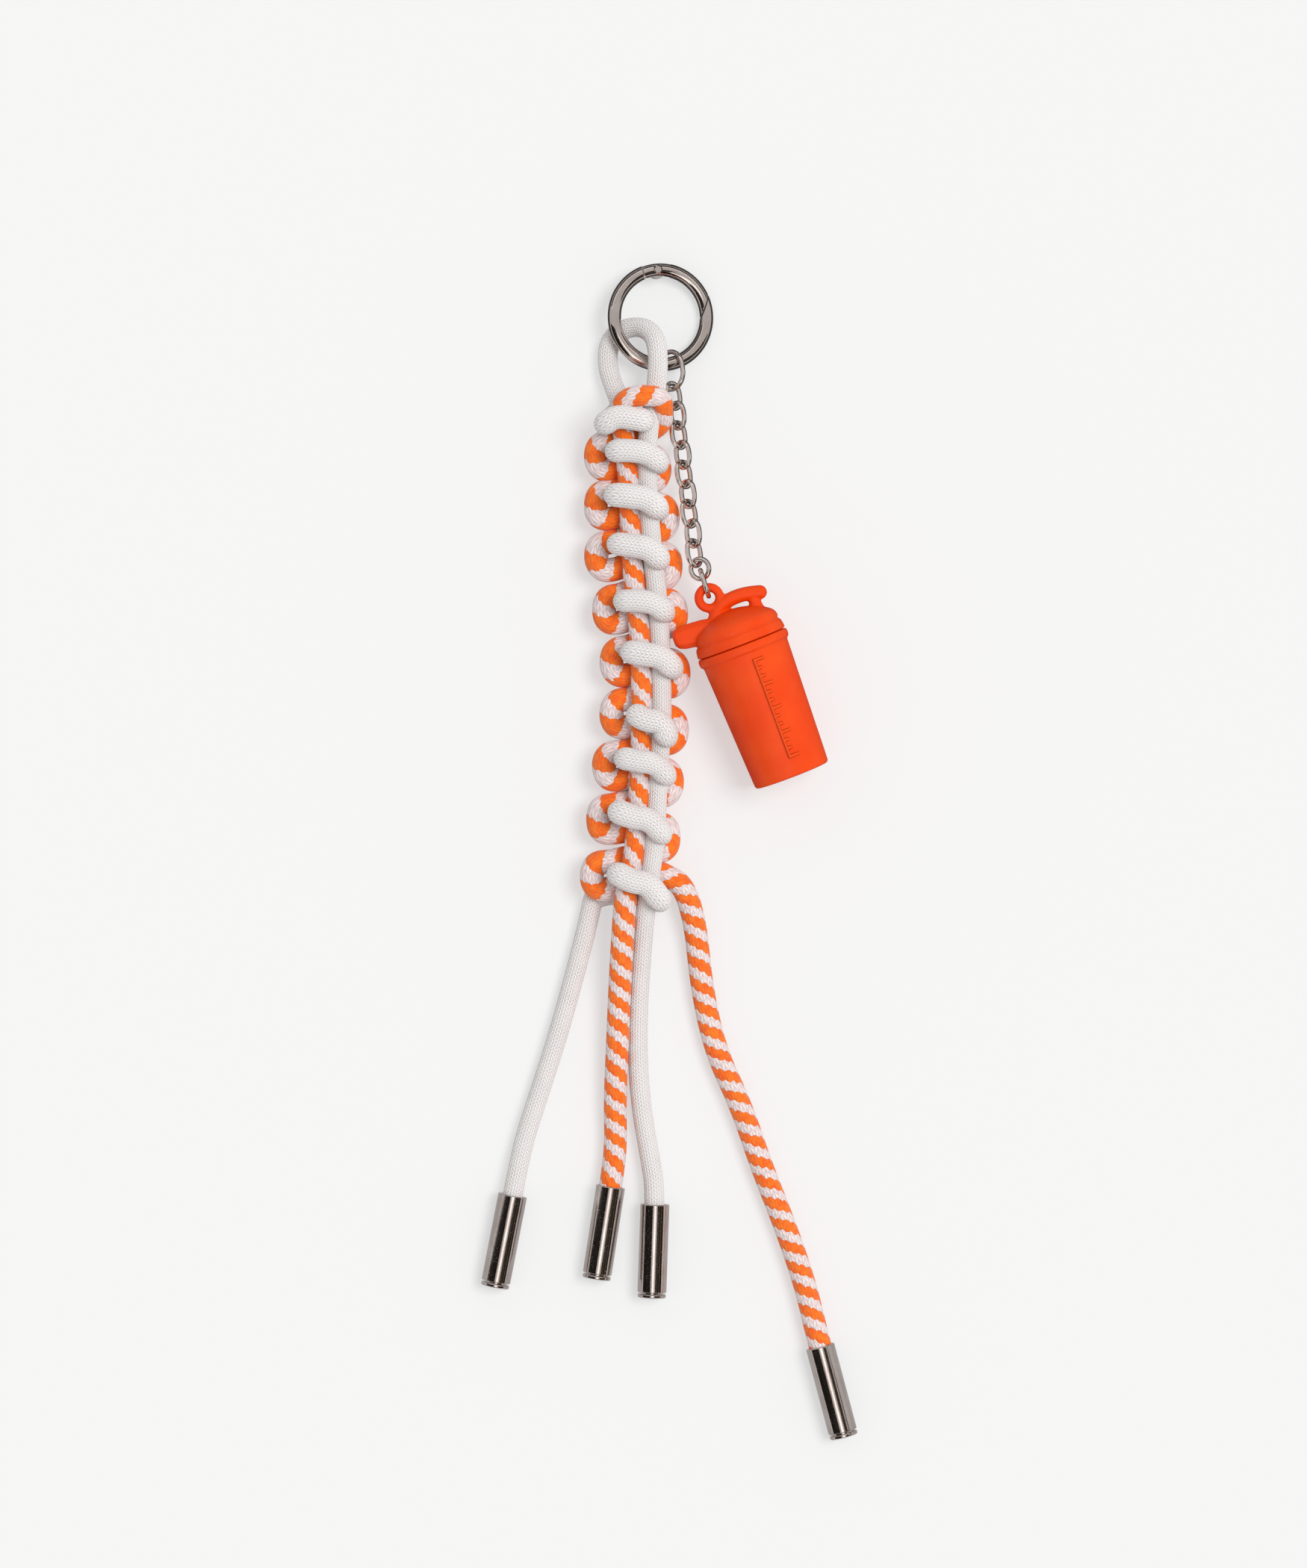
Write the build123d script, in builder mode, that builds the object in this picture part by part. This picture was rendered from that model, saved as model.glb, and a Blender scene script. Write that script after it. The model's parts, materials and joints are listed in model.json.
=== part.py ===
"""Bag charm: a knotted two-cord lanyard on a spring-gate ring, with a mini shaker bottle
on a cable chain. It lies flat, face up, with the ring towards +Y. Millimetres."""

import math
import os

from build123d import *

# Spring-gate ring
RING_OD = 25.0
RING_WIRE = 3.1
HOLD_ANGLE = 240.0  # where on its wire the cord's loop holds the ring
HOLD = (-15.192, 53.487, 5.523)  # the wire's centre there, lying on the cord
PIN_ANGLE = 95.0  # clockwise end of the gate is at the catch
TAIL_REACH = 3.4  # from the pin to the end of the gate behind it
CATCH_ANGLE = 15.0
CATCH_SLOPE = 72.0  # direction of the slanted catch face
PIN_D = 2.0
TONGUE_T = 1.1  # the body's tongue inside the gate's fork
RUNNING_GAP = 0.05  # radial clearance of the pin in the gate
SIDE_GAP = 0.12  # between tongue and fork
SLIT = 0.3  # gap at both ends of the gate
TONGUE_WALL = 1.1  # the tongue's wall round the pin
TONGUE_ROOT = 1.2  # how far the tongue reaches into the body
SPRING_T = 0.25
SPRING_HALF = 0.9  # half the width of the spring's zigzag
SPRING_BEND = 0.15

# Cords
WHITE_D = 4.6
STRIPED_D = 4.8
STRIPED_TAIL_D = 5.3
CORD_FIT = 0.05  # radial room round a cord in its ferrule
BACK_Z = 2.4  # white crossing behind the braid
LOOP_Z = 6.2  # striped loops
CORE_Z = 10.4  # core strands
FRONT_Z = 14.7  # front bars
LOOP_HALF = 2.75  # half the distance between the two arms of a side loop
LEAD_LEFT = 1.6  # a bar's rise at the left starts this much higher up the braid
LEAD_RIGHT = 0.8  # and its fall at the right ends this much lower down
BAR_BEND = 2.6  # tightest bend of the white working cord
LOOP_BEND = 2.5  # tightest bend of the striped cord

# Ferrules
FERRULE_D = 6.7
FERRULE_L = 20.4
FERRULE_BITE = 8.0  # how far a cord goes in
PLUG_L = 4.0
PLUG_PROUD = 0.9
RIM_D = 6.5
RIM_GAP = 0.3  # between the sleeve and the plug's rim
SLEEVE_ROUND = 0.25
RIM_ROUND = 0.3
MOUTH_RUN = 3.0  # a tail runs straight this far before its ferrule

# Chain
LINK_WIRE = 1.1
LINK_L = 7.05
LINK_W = 4.9
TOP_WIRE = 1.1
TOP_L = 9.8
TOP_W = 8.4
JUMP_OD = 5.7
LAST_L = 7.4
LAST_W = 5.2
LINK_GAP = 0.2  # between the wires of two linked links
JUMP_GAP = 0.35  # between the last cable link and the jump ring
JUMP_SLACK = 0.85  # the last link sits this far up in the jump ring
CHAIN_LINKS = 9
LAST_GAP = 0.3  # between the last link and the eyelet's bead
TOP_POS = Vector(-7.48, 50.67, 3.8)
CHAIN_WAY = Vector(0.127, -0.981, 0.155)  # down the chain
END_WAY = Vector(0.30, -0.94, 0.10)  # down the jump ring and the last link
TOP_TURN = 42.0  # how far each link's side axis is turned up from level
LINK_TURN = 40.0
JUMP_TURN = 25.0
LAST_TURN = 90.0

# Bottle
BOTTLE_TILT = 21.0
BOTTLE_DIP = 2.6  # the narrow end leans down to the surface
BODY_TOP_D = 20.4
BODY_BASE_D = 17.9
BODY_L = 30.4
BODY_WALL = 1.3
BASE_ROUND = 1.3
COLLAR_D = 21.7
COLLAR_H = 2.1
LID_D = 21.2
LID_H = 8.3
LID_WALL = 1.4
SKIRT_L = 2.6
MOUTH_GAP = 0.1
COLLAR_EDGE = 0.3
DOME_HOLLOW = 0.45  # share of the lid's height that is hollow
DOME_TAPER = 20.0
DOME_CROWN = 0.22  # the dome's flat top, as a share of the lid's radius
DOME_MID = (0.70, 0.245)  # on its curve, as shares of the lid's radius and height
DOME_SHOULDER = (0.97, 0.62)  # where the curve meets the side
STRAP_D = 3.3
POST_D = 3.1
POST_L = 4.5
NECK_D = 2.53
NECK_SINK = 2.0  # how far the eyelet's neck reaches into the lid
EYELET_OD = 7.1
EYELET_BEAD = 2.3
EYELET_SIDE = 3.2  # from the bottle's axis towards the spout
EYELET_RISE = 4.2  # above the lid's top
SPOUT_T = 4.0
SPOUT_REACH = 14.5

# The spout cap's side view, as (out from the bottle's axis, down from the lid's top)
SPOUT_OUTLINE = [
    (5.0, 0.3),
    (6.8, -0.25),
    (9.9, -0.5),
    (SPOUT_REACH - 0.6, -0.3),
    (SPOUT_REACH, 2.4),
    (SPOUT_REACH - 1.8, 4.7),
    (SPOUT_REACH - 3.4, 4.8),
    (7.0, 5.4),
]
# The carry strap's centre line and its post, in the same view
STRAP_ROUTE = [(4.4, 1.8), (2.4, -0.9), (-1.5, -2.1), (-6.0, -1.9), (-9.8, -0.9)]
POST_AT = (-6.2, -1.8)

RING_R = (RING_OD - RING_WIRE) / 2
TONGUE_R = PIN_D / 2 + TONGUE_WALL


def save(block, label):
    """Labels a finished piece and writes its STEP file."""
    block.part.label = label
    export_step(block.part, f"parts/{label}.step")
    print(f"{label}: {block.part.volume:.1f} mm3")


# ---------------------------------------------------------------- cords


def corner_radii(points, smallest):
    """One arc for each corner: 0.45 of the shorter run over the tangent of half the turn."""
    radii = []
    for before, here, after in zip(points, points[1:], points[2:]):
        run_in = here - before
        run_out = after - here
        turn = math.radians(run_in.get_angle(run_out))
        radius = 0.45 * min(run_in.length, run_out.length) / math.tan(turn / 2)
        radii.append(max(smallest, radius))
    return radii


def cord(route, diameter, label, tight=0.0):
    """A cord's solid: straight runs joined by tangent arcs, with a round section."""
    points = [Vector(*p) for p in route]
    radii = corner_radii(points, tight)
    with BuildPart() as piece:
        with BuildLine() as line:
            FilletPolyline(*points, radius=radii)
        path = line.wires()[0]
        with BuildSketch(Plane(origin=path @ 0, z_dir=path % 0)):
            Circle(diameter / 2)
        sweep(path=path)
    ideal = math.pi * diameter**2 / 4 * path.length
    print(f"{label}: length {path.length:.1f}, volume {piece.part.volume / ideal:.4f} of ideal,"
          f" radii {min(radii):.1f} to {max(radii):.1f}")
    save(piece, label)


# One row of the braid, from the ring down: the white front bar from its left end to its
# right end, as (left x, left y, right x, right y) of the cord's outermost points.
FRONT_BARS = [
    (-25.08, 37.67, -11.48, 38.77),
    (-22.68, 31.47, -8.18, 29.37),
    (-22.88, 21.37, -8.08, 18.57),
    (-22.28, 10.17, -7.88, 7.07),
    (-20.78, -2.93, -6.68, -5.03),
    (-19.08, -14.63, -4.78, -17.93),
    (-17.68, -29.03, -6.18, -33.63),
    (-20.58, -39.03, -6.38, -42.43),
    (-21.98, -51.23, -7.38, -55.93),
    (-22.18, -65.33, -7.68, -71.23),
]

# The striped side loops, as (outermost x, middle y).
LEFT_LOOPS = [
    (-27.28, 30.77),
    (-27.28, 19.47),
    (-27.18, 7.67),
    (-25.38, -4.53),
    (-23.68, -16.63),
    (-23.68, -28.53),
    (-25.38, -40.63),
    (-26.78, -52.83),
    (-28.18, -65.93),
]
RIGHT_LOOPS = [
    (-7.68, 27.87),
    (-5.68, 16.67),
    (-5.08, 5.47),
    (-3.78, -5.43),
    (-3.28, -19.23),
    (-3.58, -32.23),
    (-4.78, -44.23),
    (-5.48, -57.03),
]

LOOP_END = (-12.18, 39.57, CORE_Z)
LEFT_LEG_END = (-18.58, 42.37, 4.8)

WHITE_LOOP = [
    LEFT_LEG_END,
    (-21.08, 47.77, 3.0),
    (-22.38, 53.37, 2.4),
    (-21.28, 58.37, 2.4),
    (-17.88, 60.57, 2.9),
    (-13.88, 60.77, 4.6),
    (-11.18, 58.37, 7.0),
    (-10.48, 54.57, 8.7),
    (-10.48, 50.37, 9.0),
    (-11.08, 44.87, 9.7),
    LOOP_END,
]

WHITE_CORE_END = (-13.48, -74.33, 8.6)
WHITE_CORE = [
    LOOP_END,
    (-13.08, 32.87, CORE_Z),
    (-12.78, 20.37, CORE_Z),
    (-11.88, 9.37, CORE_Z),
    (-10.48, -3.63, CORE_Z),
    (-9.78, -16.13, CORE_Z),
    (-9.58, -29.63, CORE_Z),
    (-10.48, -43.63, CORE_Z),
    (-11.08, -56.63, CORE_Z),
    (-12.28, -66.13, CORE_Z),
    WHITE_CORE_END,
]

STRIPED_CORE_END = (-18.08, -72.73, 10.6)
WRAP_END = (-13.28, 44.37, 14.4)
STRIPED_CORE = [
    STRIPED_CORE_END,
    (-15.78, -60.63, CORE_Z),
    (-14.78, -47.63, CORE_Z),
    (-14.28, -35.63, CORE_Z),
    (-14.08, -23.13, CORE_Z),
    (-14.68, -8.63, CORE_Z),
    (-16.18, 3.37, CORE_Z),
    (-16.78, 15.37, CORE_Z),
    (-17.28, 26.37, CORE_Z),
    (-18.28, 35.37, CORE_Z),
    (-19.48, 41.37, 11.2),
    (-17.38, 43.97, 14.2),
    WRAP_END,
]

LEFT_TAIL_START = (-25.68, -73.03, BACK_Z)
RIGHT_TAIL_START = (-8.88, -65.63, LOOP_Z)


def white_working_route():
    """A flat helix: each front bar, down at the right, back behind the core, up at the left."""
    half = WHITE_D / 2
    route = [LEFT_LEG_END]
    for left_x, left_y, right_x, right_y in FRONT_BARS:
        route.append((left_x + half, left_y + LEAD_LEFT, BACK_Z))
        route.append((left_x + half, left_y, FRONT_Z))
        route.append((right_x - half, right_y, FRONT_Z))
        route.append((right_x - half, right_y - LEAD_RIGHT, BACK_Z))
    route.append(LEFT_TAIL_START)
    return route


def striped_working_route():
    """The end of the top wrap, then side loops in turn on the left and on the right."""
    half = STRIPED_D / 2
    route = [WRAP_END, (-9.58, 43.97, 13.6), (-9.58, 38.37, 7.0)]
    for index, (outer_x, middle_y) in enumerate(LEFT_LOOPS):
        route.append((outer_x + half, middle_y + LOOP_HALF, LOOP_Z))
        route.append((outer_x + half, middle_y - LOOP_HALF, LOOP_Z))
        if index < len(RIGHT_LOOPS):
            outer_x, middle_y = RIGHT_LOOPS[index]
            route.append((outer_x - half, middle_y + LOOP_HALF, LOOP_Z))
            route.append((outer_x - half, middle_y - LOOP_HALF, LOOP_Z))
    route.append(RIGHT_TAIL_START)
    return route


FERRULE_Z = FERRULE_D / 2

# Tails, from the braid to the mouth of each ferrule, then the ferrule's far end.
LEFT_TAIL = [
    LEFT_TAIL_START,
    (-29.28, -87.23, 2.4),
    (-33.38, -102.13, 2.4),
    (-37.58, -115.23, 2.4),
    (-41.48, -127.13, 2.5),
    (-43.98, -139.53, FERRULE_Z),
]
LEFT_FERRULE_END = (-47.98, -160.03, FERRULE_Z)
CENTRE_STRIPED_TAIL = [
    STRIPED_CORE_END,
    (-18.78, -82.63, 8.4),
    (-19.38, -94.63, 5.7),
    (-19.88, -106.63, 4.9),
    (-20.38, -117.63, 3.7),
    (-20.18, -127.63, 2.8),
    (-21.38, -137.53, FERRULE_Z),
]
CENTRE_STRIPED_FERRULE_END = (-24.48, -157.53, FERRULE_Z)
CENTRE_WHITE_TAIL = [
    WHITE_CORE_END,
    (-14.28, -84.13, 4.7),
    (-15.08, -95.63, 2.8),
    (-15.18, -109.13, 2.4),
    (-14.18, -120.63, 2.4),
    (-12.18, -131.63, 2.6),
    (-11.18, -141.63, FERRULE_Z),
]
CENTRE_WHITE_FERRULE_END = (-11.88, -162.03, FERRULE_Z)
RIGHT_TAIL = [
    RIGHT_TAIL_START,
    (-4.48, -68.03, 5.4),
    (-1.78, -77.13, 3.4),
    (-0.48, -91.13, 2.75),
    (2.72, -106.13, 2.75),
    (8.72, -119.03, 2.75),
    (13.52, -133.23, 2.75),
    (18.72, -146.23, 2.75),
    (23.52, -160.23, 2.9),
    (26.92, -174.43, FERRULE_Z),
]
RIGHT_FERRULE_END = (32.12, -194.03, FERRULE_Z)


def braid():
    """The two cords, knotted together: a loop, two core strands and two working strands."""
    cord(WHITE_LOOP, WHITE_D, "white_loop")
    cord(WHITE_CORE, WHITE_D, "white_core")
    cord(white_working_route(), WHITE_D, "white_working_cord", tight=BAR_BEND)
    cord(STRIPED_CORE, STRIPED_D, "striped_core", tight=LOOP_BEND)
    cord(striped_working_route(), STRIPED_D, "striped_working_cord", tight=LOOP_BEND)


def tail(route, ferrule_end, diameter, name):
    """A free tail, its ferrule and the ferrule's end plug."""
    mouth = Vector(*route[-1])
    way = (Vector(*ferrule_end) - mouth).normalized()
    inside = mouth + way * FERRULE_BITE
    run_in = mouth - way * MOUTH_RUN
    cord(route[:-1] + [tuple(run_in), tuple(inside)], diameter, f"{name}_tail")
    seat = Plane(origin=mouth, z_dir=way)
    with BuildPart() as sleeve:
        with BuildSketch(seat):
            Circle(FERRULE_D / 2)
            Circle(diameter / 2 + CORD_FIT, mode=Mode.SUBTRACT)
        extrude(amount=FERRULE_L)
        rims = sleeve.edges().filter_by(GeomType.CIRCLE)
        fillet(rims, SLEEVE_ROUND)
    save(sleeve, f"{name}_ferrule")
    plug_r = diameter / 2 + CORD_FIT
    with BuildPart() as plug:
        with BuildSketch(seat.offset(FERRULE_L - PLUG_L)):
            Circle(plug_r)
        extrude(amount=PLUG_L + RIM_GAP)
        with BuildSketch(seat.offset(FERRULE_L + RIM_GAP)):
            Circle(RIM_D / 2)
        extrude(amount=PLUG_PROUD)
        rims = plug.edges().filter_by(GeomType.CIRCLE).sort_by(SortBy.RADIUS)
        fillet(rims[-2:], RIM_ROUND)
    save(plug, f"{name}_ferrule_plug")


def ring_plane():
    """The ring's own plane: it leans about Y, its right side down on the surface."""
    turn = math.radians(HOLD_ANGLE)
    lean = math.asin((HOLD[2] - RING_WIRE / 2) / (RING_R * (1 - math.cos(turn))))
    x_dir = Vector(math.cos(lean), 0, -math.sin(lean))
    out = x_dir * RING_R * math.cos(turn) + Vector(0, 1, 0) * RING_R * math.sin(turn)
    return Plane(
        origin=Vector(*HOLD) - out,
        x_dir=x_dir,
        z_dir=(math.sin(lean), 0, math.cos(lean)),
    )


def ring_spot(plane, angle):
    """The ring's plane moved to a place on the wire's centre line, turned with it."""
    turn = math.radians(angle)
    here = plane.from_local_coords((RING_R * math.cos(turn), RING_R * math.sin(turn), 0))
    out = plane.from_local_coords((RING_OD * math.cos(turn), RING_OD * math.sin(turn), 0))
    return Plane(origin=here, x_dir=out - here, z_dir=plane.z_dir)


def ring_wire(plane):
    """The whole ring, to cut the body and the gate from."""
    section = Plane(origin=plane.origin, x_dir=plane.x_dir, z_dir=plane.y_dir)
    with BuildPart() as whole:
        with BuildSketch(section):
            with Locations((RING_R, 0)):
                Circle(RING_WIRE / 2)
        revolve(axis=Axis(plane.origin, plane.z_dir))
    return whole.part


def gate_sector(plane, pin_spot, tail_reach, catch_gap):
    """The gate's part of the ring: a sector, round about the pin, cut off at the catch."""
    catch = ring_spot(plane, CATCH_ANGLE)
    slope = math.radians(CATCH_SLOPE - 90)
    normal = plane.from_local_coords((math.cos(slope), math.sin(slope), 0)) - plane.origin
    face = Plane(origin=catch.origin, x_dir=normal, z_dir=plane.z_dir)
    reach = RING_OD
    low = math.radians(CATCH_ANGLE - 30)
    high = math.radians(PIN_ANGLE)
    with BuildPart() as sector:
        with BuildSketch(plane.offset(-RING_WIRE)):
            with BuildLine():
                Polyline(
                    (0, 0),
                    (reach * math.cos(low), reach * math.sin(low)),
                    (reach, reach),
                    (reach * math.cos(high), reach * math.sin(high)),
                    close=True,
                )
            make_face()
        extrude(amount=2 * RING_WIRE)
        with BuildSketch(pin_spot.offset(-RING_WIRE)):
            Circle(tail_reach)
        extrude(amount=2 * RING_WIRE)
        with BuildSketch(face.offset(-RING_WIRE)):
            with Locations((reach / 2 - catch_gap, 0)):
                Rectangle(reach, reach)
        extrude(amount=2 * RING_WIRE, mode=Mode.SUBTRACT)
    return sector.part


def ring():
    """The body with its tongue, the gate with its fork, the hinge pin and the gate's spring."""
    plane = ring_plane()
    whole = ring_wire(plane)
    pin_spot = ring_spot(plane, PIN_ANGLE)
    gate_part = gate_sector(plane, pin_spot, TAIL_REACH, SLIT)
    gate_room = gate_sector(plane, pin_spot, TAIL_REACH + SLIT, 0)

    with BuildPart() as tongue:
        with BuildSketch(pin_spot.offset(-TONGUE_T / 2)):
            Circle(TONGUE_R)
            with Locations((0, (TAIL_REACH + TONGUE_ROOT) / 2)):
                Rectangle(2 * TONGUE_R * 0.8, TAIL_REACH + TONGUE_ROOT)
        extrude(amount=TONGUE_T)
        with BuildSketch(plane.offset(-RING_WIRE)):
            Circle(RING_OD / 2 - SLIT)
        extrude(amount=2 * RING_WIRE, mode=Mode.INTERSECT)

    with BuildPart() as body:
        add(whole)
        add(gate_room, mode=Mode.SUBTRACT)
        add(tongue.part)
        with BuildSketch(pin_spot.offset(-RING_WIRE)):
            Circle(PIN_D / 2)
        extrude(amount=2 * RING_WIRE, mode=Mode.SUBTRACT)
    save(body, "ring_body")

    fork_gap = TONGUE_T + 2 * SIDE_GAP
    with BuildPart() as gate:
        add(whole)
        add(gate_part, mode=Mode.INTERSECT)
        with BuildSketch(pin_spot.offset(-fork_gap / 2)):
            Circle(TAIL_REACH + SLIT)
        extrude(amount=fork_gap, mode=Mode.SUBTRACT)
        with BuildSketch(pin_spot.offset(-RING_WIRE)):
            Circle(PIN_D / 2 + RUNNING_GAP)
        extrude(amount=2 * RING_WIRE, mode=Mode.SUBTRACT)
    save(gate, "ring_gate")

    with BuildPart() as pin:
        with BuildSketch(pin_spot.offset(-RING_WIRE / 2)):
            Circle(PIN_D / 2)
        extrude(amount=RING_WIRE)
        chamfer(pin.edges().filter_by(GeomType.CIRCLE), PIN_D / 8)
    save(pin, "hinge_pin")

    # a bent leaf between the tongue and the end of the fork, on the gate's side of the pin
    near = -TONGUE_R - SPRING_T
    far = -TAIL_REACH - SLIT + SPRING_T
    with BuildPart() as spring:
        with BuildSketch(pin_spot.offset(-TONGUE_T / 2)):
            with BuildLine():
                FilletPolyline(
                    (-SPRING_HALF, near),
                    (SPRING_HALF, near),
                    (-SPRING_HALF, far),
                    (SPRING_HALF, far),
                    radius=SPRING_BEND,
                )
            trace(line_width=SPRING_T)
        extrude(amount=TONGUE_T)
    save(spring, "gate_spring")


# ---------------------------------------------------------------- chain


def link(centre, way, turn, length, width, wire, label):
    """An oval link: its long axis along way, its side axis turned up from level by turn."""
    level = Vector(0, 0, 1).cross(way).normalized()
    up = way.cross(level).normalized()
    angle = math.radians(turn)
    side = level * math.cos(angle) + up * math.sin(angle)
    plane = Plane(origin=centre, x_dir=way, z_dir=way.cross(side))
    radius = (width - wire) / 2
    straight = (length - width) / 2
    with BuildPart() as piece:
        if straight > 0:
            with BuildLine(plane) as line:
                Line((-straight, radius), (straight, radius))
                CenterArc((straight, 0), radius, 90, -180)
                Line((straight, -radius), (-straight, -radius))
                CenterArc((-straight, 0), radius, -90, -180)
            path = line.wires()[0]
            with BuildSketch(Plane(origin=path @ 0, z_dir=path % 0)):
                Circle(wire / 2)
            sweep(path=path)
        else:
            with BuildSketch(Plane(origin=centre, x_dir=way, z_dir=side)):
                with Locations((radius, 0)):
                    Circle(wire / 2)
            revolve(axis=Axis(centre, plane.z_dir))
    save(piece, label)


def linked(length_a, wire_a, length_b, wire_b, slack):
    """Centre distance of two linked links whose end wires are slack apart."""
    return (length_a + length_b) / 2 - wire_a - wire_b - slack


def chain_places():
    """Name, centre, direction, turn, length, width and wire of each link, from the ring down."""
    way = CHAIN_WAY.normalized()
    end_way = END_WAY.normalized()
    place = TOP_POS
    rows = [("chain_top_link", place, way, TOP_TURN, TOP_L, TOP_W, TOP_WIRE)]
    place = place + way * linked(TOP_L, TOP_WIRE, LINK_L, LINK_WIRE, LINK_GAP)
    for number in range(1, CHAIN_LINKS + 1):
        turn = -LINK_TURN if number % 2 else LINK_TURN
        rows.append((f"chain_link_{number}", place, way, turn, LINK_L, LINK_W, LINK_WIRE))
        place = place + way * linked(LINK_L, LINK_WIRE, LINK_L, LINK_WIRE, LINK_GAP)
    place = rows[-1][1] + end_way * linked(LINK_L, LINK_WIRE, JUMP_OD, LINK_WIRE, JUMP_GAP)
    rows.append(("jump_ring", place, end_way, JUMP_TURN, JUMP_OD, JUMP_OD, LINK_WIRE))
    place = place + end_way * linked(JUMP_OD, LINK_WIRE, LAST_L, LINK_WIRE, JUMP_SLACK)
    rows.append(("last_link", place, end_way, LAST_TURN, LAST_L, LAST_W, LINK_WIRE))
    return rows


def bead_place(last):
    """Where the last link's lower bend holds the eyelet's bead."""
    _, centre, way, _, length, _, wire = last
    return centre + way * (length / 2 - wire - LAST_GAP - EYELET_BEAD / 2)


def eyelet_centre(last):
    """Centre of the eyelet, straight below its bead."""
    return bead_place(last) + END_WAY.normalized() * (EYELET_OD - EYELET_BEAD) / 2


def chain():
    """The top link on the ring, the cable links, the jump ring and the last link."""
    for name, centre, way, turn, length, width, wire in chain_places():
        link(centre, way, turn, length, width, wire, name)


# ---------------------------------------------------------------- bottle


def bottle_plane(lid_top):
    """Origin at the lid's top, z down the bottle, x to the spout's side."""
    lean = math.radians(BOTTLE_TILT)
    dip = math.radians(BOTTLE_DIP)
    down = Vector(
        math.sin(lean) * math.cos(dip),
        -math.cos(lean) * math.cos(dip),
        -math.sin(dip),
    )
    return Plane(origin=lid_top, x_dir=(-math.cos(lean), -math.sin(lean), 0), z_dir=down)


def lid_envelope(section, spin):
    """The lid's outer shape, filled: a low dome with a short straight side."""
    side = LID_D / 2
    crown = (side * DOME_CROWN, 0)
    shoulder = (side * DOME_SHOULDER[0], LID_H * DOME_SHOULDER[1])
    with BuildPart() as dome:
        with BuildSketch(section):
            with BuildLine():
                Line((0, 0), crown)
                ThreePointArc(crown, (side * DOME_MID[0], LID_H * DOME_MID[1]), shoulder)
                Polyline(shoulder, (side, LID_H), (0, LID_H), (0, 0))
            make_face()
        revolve(axis=spin)
    return dome.part


def bottle(eyelet_at):
    """Body, lid, spout and carry loop; eyelet_at is the centre of the carry loop's eyelet."""
    eyelet_r = (EYELET_OD - EYELET_BEAD) / 2
    trial = bottle_plane((0, 0, 0))
    offset = trial.from_local_coords((EYELET_SIDE, 0, -EYELET_RISE))
    plane = bottle_plane(eyelet_at - offset)
    section = Plane(origin=plane.origin, x_dir=plane.x_dir, z_dir=plane.x_dir.cross(plane.z_dir))
    spin = Axis(plane.origin, plane.z_dir)

    mouth = LID_H
    shoulder = LID_H + COLLAR_H
    base = shoulder + BODY_L
    top_r = BODY_TOP_D / 2
    base_r = BODY_BASE_D / 2
    with BuildPart() as body:
        with BuildSketch(section):
            with BuildLine():
                Polyline(
                    (0, base),
                    (base_r, base),
                    (top_r, shoulder),
                    (COLLAR_D / 2, shoulder - COLLAR_EDGE),
                    (COLLAR_D / 2, mouth + COLLAR_EDGE),
                    (COLLAR_D / 2 - COLLAR_EDGE, mouth),
                    (top_r - BODY_WALL, mouth),
                    (top_r - BODY_WALL, shoulder),
                    (base_r - BODY_WALL, base - BODY_WALL),
                    (0, base - BODY_WALL),
                    close=True,
                )
            make_face()
        revolve(axis=spin)
        rim = body.edges().filter_by(GeomType.CIRCLE).sort_by(Axis(plane.origin, plane.z_dir))[-1]
        fillet(rim, BASE_ROUND)
    save(body, "bottle_body")

    envelope = lid_envelope(section, spin)
    skirt_r = top_r - BODY_WALL - MOUTH_GAP
    hollow_r = skirt_r - LID_WALL
    with BuildPart() as lid:
        add(envelope)
        with BuildSketch(plane.offset(LID_H)):
            Circle(skirt_r)
        extrude(amount=SKIRT_L)
        with BuildSketch(plane.offset(LID_H + SKIRT_L)):
            Circle(hollow_r)
        depth = SKIRT_L + LID_H * DOME_HOLLOW
        extrude(amount=-depth, taper=DOME_TAPER, mode=Mode.SUBTRACT)
    save(lid, "bottle_lid")

    with BuildPart() as spout:
        with BuildSketch(section.offset(-SPOUT_T / 2)):
            with BuildLine():
                Polyline(*SPOUT_OUTLINE, close=True)
            make_face()
        extrude(amount=SPOUT_T)
        add(envelope, mode=Mode.SUBTRACT)
    save(spout, "bottle_spout")

    strap_route = [section.from_local_coords(Vector(x, y, 0)) for x, y in STRAP_ROUTE]
    with BuildPart() as loop:
        with BuildLine() as line:
            FilletPolyline(*strap_route, radius=corner_radii(strap_route, STRAP_D / 2))
        path = line.wires()[0]
        with BuildSketch(Plane(origin=path @ 0, z_dir=path % 0)):
            Circle(STRAP_D / 2)
        sweep(path=path)
        with Locations(Plane(origin=path @ 1)):
            Sphere(STRAP_D / 2)
        post_top = section.from_local_coords(Vector(*POST_AT, 0))
        with BuildSketch(Plane(origin=post_top, z_dir=plane.z_dir)):
            Circle(POST_D / 2)
        extrude(amount=POST_L)
        with BuildSketch(Plane(origin=eyelet_at, x_dir=plane.x_dir, z_dir=plane.z_dir)):
            with Locations((eyelet_r, 0)):
                Circle(EYELET_BEAD / 2)
        revolve(axis=Axis(eyelet_at, plane.y_dir))
        neck = Plane(origin=eyelet_at + plane.z_dir * eyelet_r, z_dir=plane.z_dir)
        with BuildSketch(neck):
            Circle(NECK_D / 2)
        extrude(amount=EYELET_RISE - eyelet_r + NECK_SINK)
        add(envelope, mode=Mode.SUBTRACT)
        add(spout.part, mode=Mode.SUBTRACT)
    save(loop, "carry_loop")


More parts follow.
